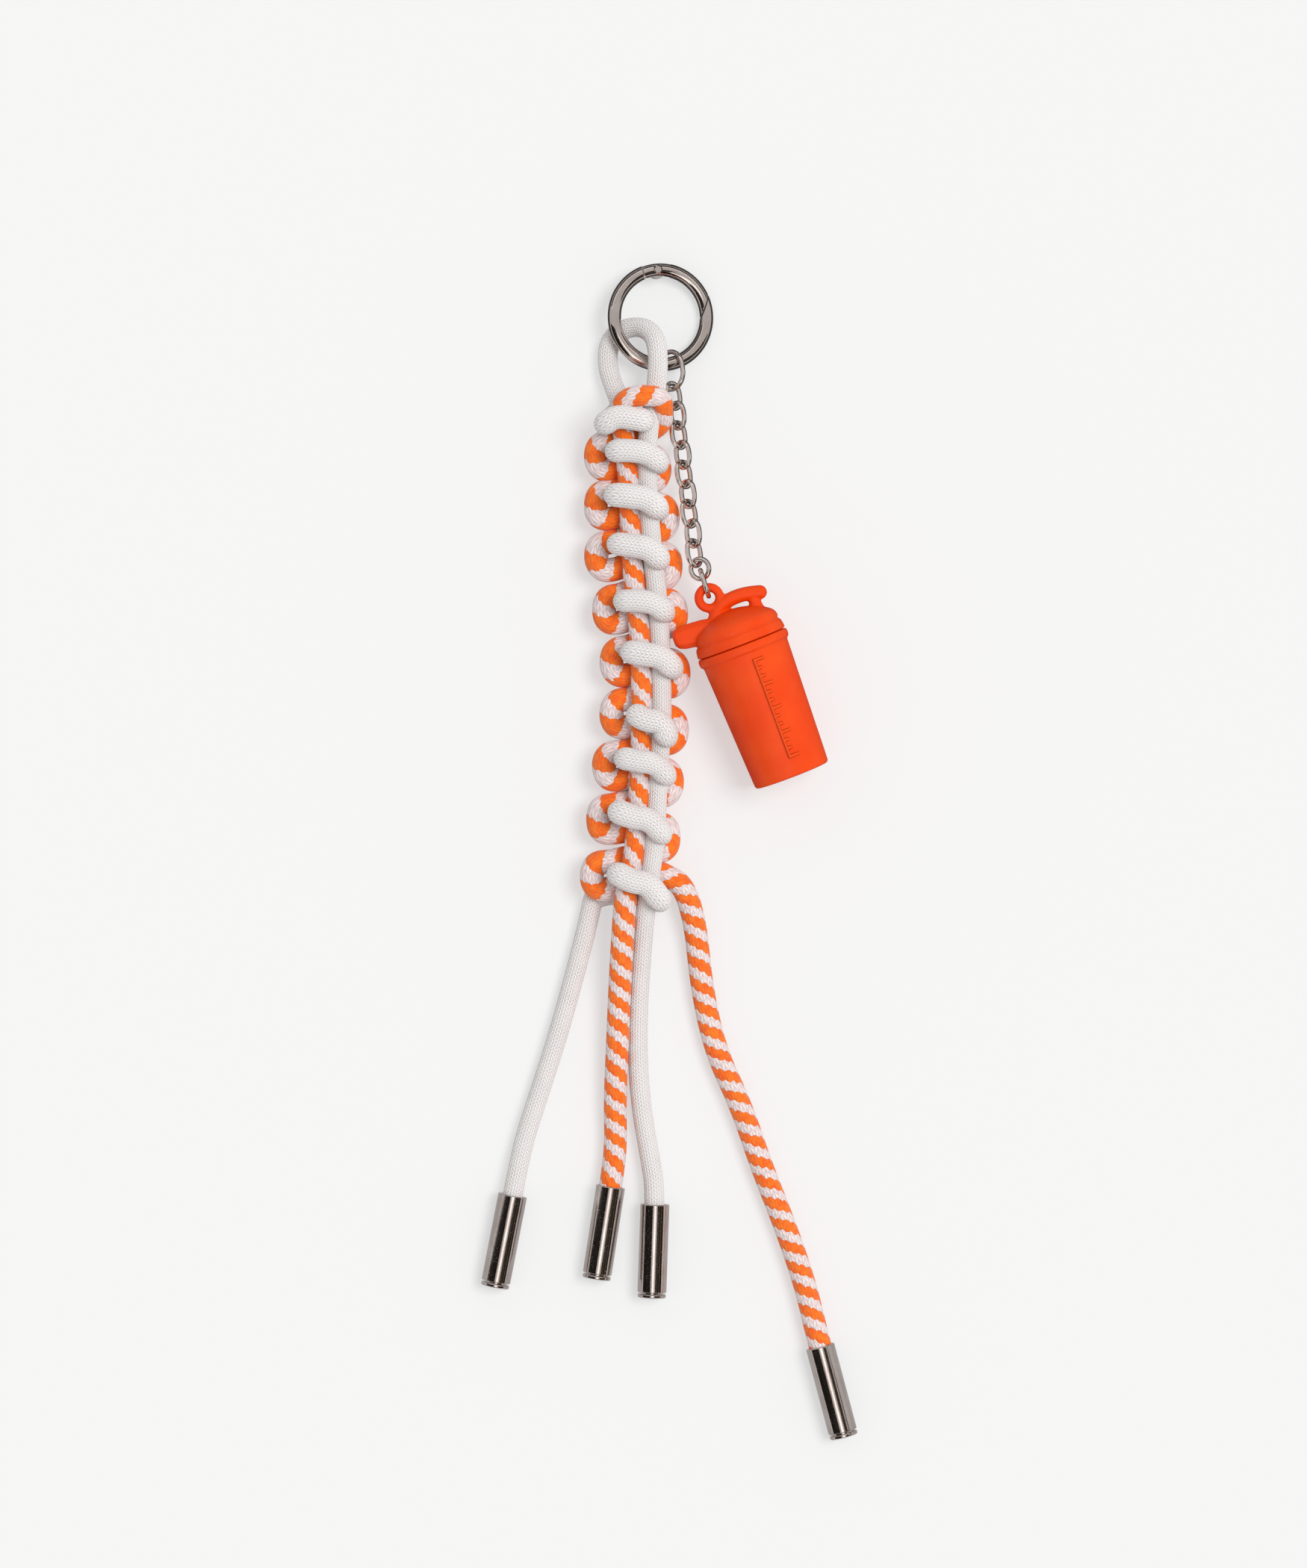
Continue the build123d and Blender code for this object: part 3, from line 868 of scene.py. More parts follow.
STRIPED_CORE = [
    (-18.08, -72.73, 10.6),
    (-15.78, -60.63, CORE_Z),
    (-14.78, -47.63, CORE_Z),
    (-14.28, -35.63, CORE_Z),
    (-14.08, -23.13, CORE_Z),
    (-14.68, -8.63, CORE_Z),
    (-16.18, 3.37, CORE_Z),
    (-16.78, 15.37, CORE_Z),
    (-17.28, 26.37, CORE_Z),
    (-18.28, 35.37, CORE_Z),
    (-19.48, 41.37, 11.2),
    (-17.38, 43.97, 14.2),
    (-13.28, 44.37, 14.4),
]
LEFT_TAIL_START = (-25.68, -73.03, BACK_Z)
RIGHT_TAIL_START = (-8.88, -65.63, LOOP_Z)
FERRULE_Z = 3.35

# How the cords turn, as steps in x and y from a bar's ends and middle or from a loop's
# outermost place, and heights, in mm.
BAR_LEFT = ((0.0, 1.2, BACK_Z), (-0.2, 0.0, FRONT_Z - 5.5), (-0.1, 0.2, FRONT_Z - 0.2))
BAR_TOP = ((-1.6, 0.3, FRONT_Z + 0.5), (2.2, -0.2, FRONT_Z + 0.4))
BAR_RIGHT = ((0.3, -0.1, FRONT_Z - 0.6), (0.4, -0.6, FRONT_Z - 6.0), (0.0, -0.8, BACK_Z))
LOOP_HALF = 2.95
LEFT_TURN = (
    (4.6, LOOP_HALF + 0.5, LOOP_Z - 0.2),
    (0.0, LOOP_HALF, LOOP_Z + 0.2),
    (0.0, -LOOP_HALF, LOOP_Z + 0.2),
    (4.6, -LOOP_HALF - 0.3, LOOP_Z - 0.2),
)
RIGHT_TURN = (
    (-4.4, LOOP_HALF + 0.4, LOOP_Z - 0.2),
    (0.0, LOOP_HALF, LOOP_Z),
    (0.0, -LOOP_HALF, LOOP_Z),
    (-4.4, -LOOP_HALF - 0.4, LOOP_Z - 0.2),
)
WHITE_END = ((-25.0, -69.4, BACK_Z), (-26.0, -73.6, BACK_Z))
WRAP_DOWN = ((-9.58, 43.97, 13.6), (-9.2, 40.6, 10.4), (-9.9, 37.4, 7.0))
STRIPED_END = ((-14.0, -62.6, LOOP_Z), RIGHT_TAIL_START)


@dataclass(frozen=True)
class TailRoute:
    """One free tail: its control points from the braid to its ferrule, all in millimetres."""

    name: str
    kind: CordKind
    route: tuple[Point, ...]
    ferrule_end: Point
    diameter: float
    length: float
    tucked: Point
    run_in: float = 3.0
    bite: float = 8.0

    def controls(self) -> list[Point]:
        """The control points, with the last run straight into the ferrule.

        Returns:
            The points, in metres.
        """
        mouth = Vector(self.route[-1])
        way = (Vector(self.ferrule_end) - mouth).normalized()
        ends = [tuple(mouth - way * self.run_in), tuple(mouth + way * self.bite)]
        return millimetres([self.tucked, *self.route[:-1], *ends])


TAILS = (
    TailRoute(
        "left_white",
        CordKind.WHITE,
        route=(
            LEFT_TAIL_START,
            (-29.28, -87.23, 2.4),
            (-33.38, -102.13, 2.4),
            (-37.58, -115.23, 2.4),
            (-41.48, -127.13, 2.5),
            (-43.98, -139.53, FERRULE_Z),
        ),
        ferrule_end=(-47.98, -160.03, FERRULE_Z),
        diameter=4.6,
        length=77.0,
        tucked=(-25.1, -68.6, 2.6),
    ),
    TailRoute(
        "centre_striped",
        CordKind.STRIPED,
        route=(
            (-18.08, -72.73, 10.6),
            (-18.78, -82.63, 8.4),
            (-19.38, -94.63, 5.7),
            (-19.88, -106.63, 4.9),
            (-20.38, -117.63, 3.7),
            (-20.18, -127.63, 2.8),
            (-21.38, -137.53, FERRULE_Z),
        ),
        ferrule_end=(-24.48, -157.53, FERRULE_Z),
        diameter=5.3,
        length=73.6,
        tucked=(-17.5, -67.4, 10.6),
    ),
    TailRoute(
        "centre_white",
        CordKind.WHITE,
        route=(
            (-13.48, -74.33, 8.6),
            (-14.28, -84.13, 4.7),
            (-15.08, -95.63, 2.8),
            (-15.18, -109.13, 2.4),
            (-14.18, -120.63, 2.4),
            (-12.18, -131.63, 2.6),
            (-11.18, -141.63, FERRULE_Z),
        ),
        ferrule_end=(-11.88, -162.03, FERRULE_Z),
        diameter=4.6,
        length=76.5,
        tucked=(-12.6, -67.8, 10.2),
    ),
    TailRoute(
        "right_striped",
        CordKind.STRIPED,
        route=(
            RIGHT_TAIL_START,
            (-4.48, -68.03, 5.4),
            (-1.78, -77.13, 3.4),
            (-0.48, -91.13, 2.75),
            (2.72, -106.13, 2.75),
            (8.72, -119.03, 2.75),
            (13.52, -133.23, 2.75),
            (18.72, -146.23, 2.75),
            (23.52, -160.23, 2.9),
            (26.92, -174.43, FERRULE_Z),
        ),
        ferrule_end=(32.12, -194.03, FERRULE_Z),
        diameter=5.3,
        length=124.4,
        tucked=(-12.4, -63.9, 6.4),
    ),
)


Ripples = tuple[tuple[float, float], ...]


def beside(x: float, y: float, steps: Sequence[Point]) -> list[Point]:
    """Control points beside a place: steps in x and y from it, and heights."""
    return [(x + step_x, y + step_y, height) for step_x, step_y, height in steps]


def uneven(far: np.ndarray, ripples: Ripples) -> np.ndarray:
    """How a cord's thickness wavers: each ripple's size and its length in mm."""
    return sum(size * np.sin(far / (length * MM)) for size, length in ripples)


@dataclass
class Braid:
    """The knotted part of both cords, each one piece from tail to tail.

    Widths and heights are in millimetres and runs along a cord in metres; a swell is how much
    thicker the cord gets, as a share of its radius.
    """

    half_width: float = 2.5
    bar_swell: float = 0.24
    bar_arch: float = 1.0
    bar_foot: float = 11.2
    bar_rise: float = 3.2
    bar_mean: float = 0.8
    bar_sway: float = 0.2
    bar_wave: float = 9.7 * MM
    bar_ripples: Ripples = ((0.012, 2.3), (0.010, 0.9))
    loop_swell: float = 0.15
    loop_top: float = 8.5
    loop_fall: float = 2.0
    loop_ripples: Ripples = ((0.015, 1.9), (0.012, 0.8))
    end_size: float = 0.80
    end_run: float = 4.0 * MM
    body: str = "lanyard"

    def white_controls(self) -> list[Point]:
        """The white cord: core up, round the ring, then every front bar and down to its tail.

        Returns:
            Its control points, in metres.
        """
        line = [*reversed(WHITE_CORE), *reversed(WHITE_LOOP)]
        for left_x, left_y, right_x, right_y in FRONT_BARS:
            left, right = left_x + self.half_width, right_x - self.half_width
            line += beside(left, left_y, BAR_LEFT)
            line += beside((left + right) / 2, (left_y + right_y) / 2 + self.bar_arch, BAR_TOP)
            line += beside(right, right_y, BAR_RIGHT)
        return millimetres([*line, *WHITE_END])

    def striped_controls(self) -> list[Point]:
        """The striped cord: core up, the wrap over the top, then loops left and right in turn.

        Returns:
            Its control points, in metres.
        """
        line = [*STRIPED_CORE, *WRAP_DOWN]
        for index, (outer_x, middle_y) in enumerate(LEFT_LOOPS):
            line += beside(outer_x + self.half_width, middle_y, LEFT_TURN)
            if index < len(RIGHT_LOOPS):
                outer_x, middle_y = RIGHT_LOOPS[index]
                line += beside(outer_x - self.half_width, middle_y, RIGHT_TURN)
        return millimetres([*line, *STRIPED_END])

    def bar_factor(self, points: np.ndarray, far: np.ndarray) -> np.ndarray:
        """The white cord is spread where it lies across the front.

        Args:
            points: Places on the cord's centre line.
            far: How far along it each one is.

        Returns:
            How many times its radius it is at each place.
        """
        raised = np.clip((points[:, 2] / MM - self.bar_foot) / self.bar_rise, 0.0, 1.0)
        wave = self.bar_mean + self.bar_sway * np.sin(far / self.bar_wave)
        swell = 1.0 + self.bar_swell * wave * raised * raised * (3 - 2 * raised)
        return (swell + uneven(far, self.bar_ripples)) * self.tucked(far)

    def loop_factor(self, points: np.ndarray, far: np.ndarray) -> np.ndarray:
        """The striped cord is a little fuller in its side loops.

        Args:
            points: Places on the cord's centre line.
            far: How far along it each one is.

        Returns:
            How many times its radius it is at each place.
        """
        low = np.clip((self.loop_top - points[:, 2] / MM) / self.loop_fall, 0.0, 1.0)
        swell = 1.0 + self.loop_swell * low
        return (swell + uneven(far, self.loop_ripples)) * self.tucked(far)

    def turn_stripes(self, cord: bpy.types.Object) -> None:
        """Stores how steeply the stripes wind: steep up the core, flatter from the top on.

        Args:
            cord: The striped cord.
        """
        along = np.array([value.value for value in cord.data.attributes[ALONG].data])
        height = np.array([vertex.co.y for vertex in cord.data.vertices])
        top = along[int(np.argmax(height))]
        store(cord.data, STARTS, 2.0 - np.clip((along - top) / self.end_run + 1.0, 0.0, 1.0))

    def tucked(self, far: np.ndarray) -> np.ndarray:
        """Both ends draw in, so that they sit inside the tails that go on from them."""
        from_end = np.minimum(far, far[-1] - far)
        return self.end_size + (1 - self.end_size) * np.clip(from_end / self.end_run, 0.0, 1.0)

    def build(self, white: bpy.types.Material, striped: bpy.types.Material) -> None:
        """Builds and dresses both cords.

        Args:
            white: The plain cord's finish.
            striped: The striped cord's finish.
        """
        plain = tube(
            "white_knotted_cord",
            smooth_line("white line", self.white_controls()),
            WHITE_R,
            self.bar_factor,
            flatten=0.94,
        )
        dress(plain, white)
        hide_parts("white_loop", "white_core", "white_working_cord")
        winding = tube(
            "striped_knotted_cord",
            smooth_line("striped line", self.striped_controls()),
            STRIPED_R,
            self.loop_factor,
        )
        self.turn_stripes(winding)
        dress(winding, striped)
        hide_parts("striped_core", "striped_working_cord")
        for piece in (plain, winding):
            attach(piece, self.body)
            log.info("built %s", piece.name)


@dataclass
class Tail:
    """One free tail with its ferrule and end plug."""

    plan: TailRoute
    start_size: float = 0.74
    start_run: float = 4.0 * MM
    stripe_starts: float = 2.0
    body: str = "lanyard"

    def eased(self, points: np.ndarray, far: np.ndarray) -> np.ndarray:
        """The tail grows out of the knotted cord that it goes on from.

        Args:
            points: Places on the tail's centre line; not used.
            far: How far along it each one is.

        Returns:
            How many times its radius it is at each place.
        """
        grown = np.clip(far / self.start_run, 0.0, 1.0)
        return self.start_size + (1 - self.start_size) * grown * (2 - grown)

    def build(self, cord_finish: bpy.types.Material, metal: bpy.types.Material) -> None:
        """Builds the cord and dresses the metal at its end.

        Args:
            cord_finish: The cord's finish.
            metal: The ferrule's finish.
        """
        name = self.plan.name
        line = smooth_line(f"{name} line", self.plan.controls())
        piece = tube(f"{name}_cord_tail", line, self.plan.diameter / 2 * MM, self.eased)
        store(piece.data, STARTS, np.full(len(piece.data.vertices), self.stripe_starts))
        dress(piece, cord_finish)
        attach(piece, self.body)
        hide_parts(f"{name}_tail")
        fittings = [frame["nodes"][f"{name}_ferrule"], frame["nodes"][f"{name}_ferrule_plug"]]
        for fitting in fittings:
            dress(fitting, metal)
        log.info("built %s with its ferrule", piece.name)


# ------------------------------------------------------------------ metal


@dataclass
class GateRing:
    """The ring, its gate, hinge pin and spring, carried over from the frame."""

    nodes: tuple[str, ...] = ("ring_body", "ring_gate", "hinge_pin", "gate_spring")

    def build(self, metal: bpy.types.Material) -> None:
        """Dresses the ring's pieces.

        Args:
            metal: The metal's finish.
        """
        for name in self.nodes:
            dress(frame["nodes"][name], metal)
            log.info("dressed %s", name)


@dataclass
class CableChain:
    """Top link, cable links, jump ring and last link."""

    links: int = 9
    wire: float = 1.1 * MM
    squareness: float = 0.86
    sway: float = 0.20 * MM
    bends: int = 72
    ring_gap: float = 0.2 * MM
    sides: int = 20

    def names(self) -> list[str]:
        """The links' names from the ring down."""
        cable = [f"chain_link_{n}" for n in range(1, self.links + 1)]
        return ["chain_top_link", *cable, "jump_ring", "last_link"]

    def oval(self, name: str, side_step: float) -> bpy.types.Object:
        """A rounder link where a packed link lies.

        Args:
            name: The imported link.
            side_step: How far it hangs to the side of the chain's line, in metres.

        Returns:
            The link.
        """
        packed = frame["nodes"][name]
        points = np.array([packed.matrix_world @ v.co for v in packed.data.vertices])
        centre = (points.max(axis=0) + points.min(axis=0)) / 2
        along, wide, _ = np.linalg.svd(points - centre, full_matrices=False)[2]
        half = np.abs((points - centre) @ along).max() - self.wire / 2
        broad = np.abs((points - centre) @ wide).max() - self.wire / 2
        turn = np.linspace(0.0, 2 * math.pi, self.bends + 1)
        bow, reach = np.cos(turn), np.sin(turn)
        bow = np.sign(bow) * np.abs(bow) ** self.squareness
        reach = np.sign(reach) * np.abs(reach) ** self.squareness
        line = centre + reach[:, None] * half * along + bow[:, None] * broad * wide
        line[:, 0] += side_step
        line[-1] = line[0]
        link = rod(line, self.wire / 2, gap=self.ring_gap, sides=self.sides)
        return new_mesh_object(f"{name}_wire", *link)

    def build(self, metal: bpy.types.Material) -> None:
        """Builds the cable links and dresses the rest.

        Args:
            metal: The metal's finish.
        """
        for number, name in enumerate(self.names()):
            if not name.startswith("chain_link"):
                dress(frame["nodes"][name], metal)
                log.info("dressed %s", name)
                continue
            piece = self.oval(name, self.sway if number % 2 == 0 else -self.sway)
            dress(piece, metal)
            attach(piece, name.removeprefix("chain_"))
            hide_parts(name)
            log.info("built %s", piece.name)


# ------------------------------------------------------------------ bottle


@dataclass
class ShakerBottle:
    """The mini bottle: tapered body with graduation lines, and the lid with spout and strap.

    Angles are in degrees, and sizes in millimetres apart from the skin's.
    """

    tilt: float = 21.0
    dip: float = 2.6
    lid_height: float = 8.3
    lid_radius: float = 10.6
    collar_radius: float = 10.85
    collar_height: float = 2.1
    body_length: float = 30.4
    top_radius: float = 10.2
    base_radius: float = 8.95
    eyelet_side: float = 3.2
    eyelet_rise: float = 4.2
    eyelet_radius: float = 2.4
    eyelet_bead: float = 1.05
    strap_radius: float = 1.65
    end_way: Point = (0.30, -0.94, 0.10)
    tick_height: float = 0.62
    tick_turn: float = 13.0
    ticks: int = 13
    tick_gap: float = 1.95
    tick_start: float = 12.6
    tick_half: float = 0.28
    long_reach: float = 1.15
    short_reach: float = 0.62
    spine_half: float = 0.22
    spine_past: float = 0.35
    spine_place: float = -1.25
    edge: float = 0.14
    edge_width: float = 0.20
    row_gap: float = 0.11
    sides: int = 420
    lid_row_gap: float = 0.3
    lid_sides: int = 160
    skin: float = 0.24 * MM
    skin_passes: int = 6
    body: str = "bottle"

    def frame_matrix(self) -> Matrix:
        """The bottle's own frame: origin on the lid's top, X to the spout, Z down the bottle.

        Returns:
            The matrix that sets the bottle in its place.
        """
        lean, dip = math.radians(self.tilt), math.radians(self.dip)
        down = Vector(
            (math.sin(lean) * math.cos(dip), -math.cos(lean) * math.cos(dip), -math.sin(dip))
        )
        out = Vector((-math.cos(lean), -math.sin(lean), 0.0))
        under = down.cross(out)
        swing = next(j for j in frame["joints"] if j["name"] == "bottle_swing")
        bead = Vector(swing["pos_m"])
        eyelet = bead + Vector(self.end_way).normalized() * self.eyelet_radius * MM
        origin = eyelet - out * self.eyelet_side * MM + down * self.eyelet_rise * MM
        turn = Matrix((out, under, down)).transposed()
        return Matrix.Translation(origin) @ turn.to_4x4()

    def bar(self, value: np.ndarray, half: float) -> np.ndarray:
        """1 inside a bar with soft sides, 0 outside."""
        return np.clip((half + self.edge - np.abs(value)) / self.edge_width, 0.0, 1.0)

    def tick_relief(self, down: np.ndarray, across: np.ndarray) -> np.ndarray:
        """Height of the graduation lines, in mm.

        Args:
            down: Distance down the bottle, in mm.
            across: Distance round it from the middle of the scale, in mm.

        Returns:
            The height at each place.
        """

        last = self.tick_start + self.tick_gap * (self.ticks - 1)
        middle = (self.tick_start + last) / 2
        aside = across - self.spine_place
        spine = self.bar(down - middle, last - middle + self.spine_past)
        relief = spine * self.bar(aside, self.spine_half)
        for index in range(self.ticks):
            reach = self.short_reach if index % 3 else self.long_reach
            row = self.bar(down - self.tick_start - index * self.tick_gap, self.tick_half)
            relief = np.maximum(relief, row * self.bar(aside - reach, reach))
        return relief * self.tick_height

    def outline(self, name: str, knots: Sequence[Point], gap: float) -> np.ndarray:
        """A smooth outline for turning, from knots of (distance down, radius, 0) in mm.

        Args:
            name: A name for its curve.
            knots: Its control points, from the axis round to the axis.
            gap: Distance between its points.

        Returns:
            Its points, the first and last on the axis.
        """
        line, _ = respaced(smooth_line(name, knots, 24)[:, :2], gap)
        line[0, 1] = line[-1, 1] = 0.0
        return line

    def body_piece(self) -> bpy.types.Object:
        """Builds the tapered body with its collar and graduation lines.

        Returns:
            The body, in its own frame.
        """
        mouth, shoulder = self.lid_height, self.lid_height + self.collar_height
        base = shoulder + self.body_length
        collar = self.collar_radius
        knots = [
            (mouth + 0.06, 0.0, 0.0),
            (mouth + 0.06, 9.5, 0.0),
            (mouth + 0.08, 10.2, 0.0),
            (mouth + 0.16, collar - 0.15, 0.0),
            (mouth + 0.65, collar + 0.03, 0.0),
            (shoulder - 0.55, collar + 0.03, 0.0),
            (shoulder - 0.05, collar - 0.2, 0.0),
            (shoulder + 0.25, self.top_radius + 0.02, 0.0),
            (shoulder + 1.2, self.top_radius - 0.03, 0.0),
            (shoulder + self.body_length * 0.5, (self.top_radius + self.base_radius) / 2, 0.0),
            (base - 1.5, self.base_radius + 0.05, 0.0),
            (base - 0.15, self.base_radius - 0.05, 0.0),
            (base, self.base_radius - 1.3, 0.0),
            (base - 0.1, self.base_radius - 3.5, 0.0),
            (base - 0.12, 0.0, 0.0),
        ]
        points, faces = turned(self.outline("body outline", knots, self.row_gap), self.sides)
        flat = points[:, :2]
        radius = np.linalg.norm(flat, axis=1)
        turn = np.arctan2(flat[:, 0], -flat[:, 1]) + math.radians(self.tick_turn)
        wall = (radius > self.base_radius - 0.3) & (points[:, 2] > shoulder + 1.0)
        relief = np.where(wall, self.tick_relief(points[:, 2], -turn * radius), 0.0)
        points[:, :2] *= (1 + relief / np.maximum(radius, 1e-6))[:, None]
        piece = new_mesh_object("bottle_body_shell", points * MM, faces)
        store(piece.data, RAISED, relief / self.tick_height)
        return piece

    def lid_shapes(self) -> list[Shape]:
        """The lid's dome, spout, strap, post, eyelet and neck.

        Returns:
            Closed shapes, in mm.
        """
        height, side = self.lid_height, self.lid_radius
        knots = [
            (0.0, 0.0, 0.0),
            (0.0, side * 0.2, 0.0),
            (1.1, side * 0.56, 0.0),
            (3.1, side * 0.90, 0.0),
            (4.6, side * 0.955, 0.0),
            (5.1, side * 0.955, 0.0),
            (5.35, side * 0.925, 0.0),
            (5.75, side * 0.925, 0.0),
            (6.0, side * 0.985, 0.0),
            (height - 1.1, side * 0.995, 0.0),
            (height - 0.75, side + 0.08, 0.0),
            (height - 0.1, side + 0.08, 0.0),
            (height + 0.02, side - 0.4, 0.0),
            (height + 0.02, 0.0, 0.0),
        ]
        dome = self.outline("lid outline", knots, self.lid_row_gap)
        shapes = [turned(dome, self.lid_sides), self.spout_shape()]
        strap = [(4.6, 2.4), (3.4, 0.2), (1.4, -1.7), (-2.2, -2.35), (-6.2, -1.95), (-9.7, -0.75)]
        line = smooth_line("strap line", [(x, 0.0, z) for x, z in strap], 20)
        shapes.append(rod(line, self.strap_radius))
        post = np.array([(-6.1, 0.0, -1.4), (-6.3, 0.0, 1.2), (-6.5, 0.0, 3.6)])
        shapes.append(rod(post, 1.35, 1.1))
        around = np.linspace(0, 2 * math.pi, 49)
        centre = np.array((self.eyelet_side, 0.0, -self.eyelet_rise))
        ring = np.stack([np.cos(around), np.zeros(49), np.sin(around)], axis=1)
        shapes.append(rod(centre + ring * self.eyelet_radius, self.eyelet_bead))
        neck = np.array([(3.2, 0.0, -1.7), (3.3, 0.0, 0.4), (3.4, 0.0, 2.0)])
        shapes.append(rod(neck, 1.3, 1.3))
        return shapes

    def spout_shape(self) -> Shape:
        """The spout cap: a wedge with a narrower tip.

        Returns:
            Points, in mm, and faces.
        """
        rows = [
            (3.5, 0.5, 6.2, 3.2),
            (6.8, -0.15, 6.0, 2.6),
            (10.0, -0.45, 5.2, 2.25),
            (12.4, -0.35, 4.85, 2.1),
            (13.7, -0.1, 4.3, 1.9),
            (14.4, 1.1, 3.4, 1.2),
        ]
        points = []
        for out, top, low, half in rows:
            soft = 0.55 * min(half, (low - top) / 2)
            points += [
                (out, -half + soft, top), (out, half - soft, top),
                (out, half, top + soft), (out, half, low - soft),
                (out, half - soft, low), (out, -half + soft, low),
                (out, -half, low - soft), (out, -half, top + soft),
            ]
        last = len(points) - 8
        ends = [tuple(range(7, -1, -1)), tuple(range(last, last + 8))]
        return np.array(points, float), ends + band_faces(len(rows), 8)

    def lid_piece(self) -> bpy.types.Object:
        """Melts lid, spout, strap and eyelet into one moulding.

        Returns:
            The lid, in the bottle's frame.
        """
        corners, faces, count = [], [], 0
        for points, shape in self.lid_shapes():
            corners.append(points)
            faces += [tuple(c + count for c in face) for face in shape]
            count += len(points)
        piece = new_mesh_object("bottle_lid_moulding", np.vstack(corners) * MM, faces)
        made = bmesh.new()
        made.from_mesh(piece.data)
        bmesh.ops.recalc_face_normals(made, faces=made.faces)
        made.to_mesh(piece.data)
        made.free()
        moulded(piece, self.skin, self.skin_passes)
        return piece

    def build(self, soft: bpy.types.Material) -> None:
        """Builds and dresses the body and the lid.

        Args:
            soft: The moulding's finish.
        """
        place = self.frame_matrix()
        made = [
            (self.body_piece(), ("bottle_body",)),
            (self.lid_piece(), ("bottle_lid", "bottle_spout", "carry_loop")),
        ]
        for piece, nodes in made:
            piece.data.transform(place)
            dress(piece, soft)
            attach(piece, self.body)
            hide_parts(*nodes)
            log.info("built %s", piece.name)


# ------------------------------------------------------------------ studio


@dataclass(frozen=True)
class Glow:
    """A card's light: its brightness, and how much of its red is left in its blue."""

    level: float
    warm: float = 1.0

    def material(self, name: str) -> bpy.types.Material:
        """Builds the finish under a name.

        Args:
            name: The material's name.

        Returns:
            The material.
        """
        return Recipe(name).finish(
            Base_Color=(0.0, 0.0, 0.0),
            Specular_IOR_Level=0.0,
            Emission_Color=(1.0, (1.0 + self.warm) / 2, self.warm),
            Emission_Strength=self.level,
        )


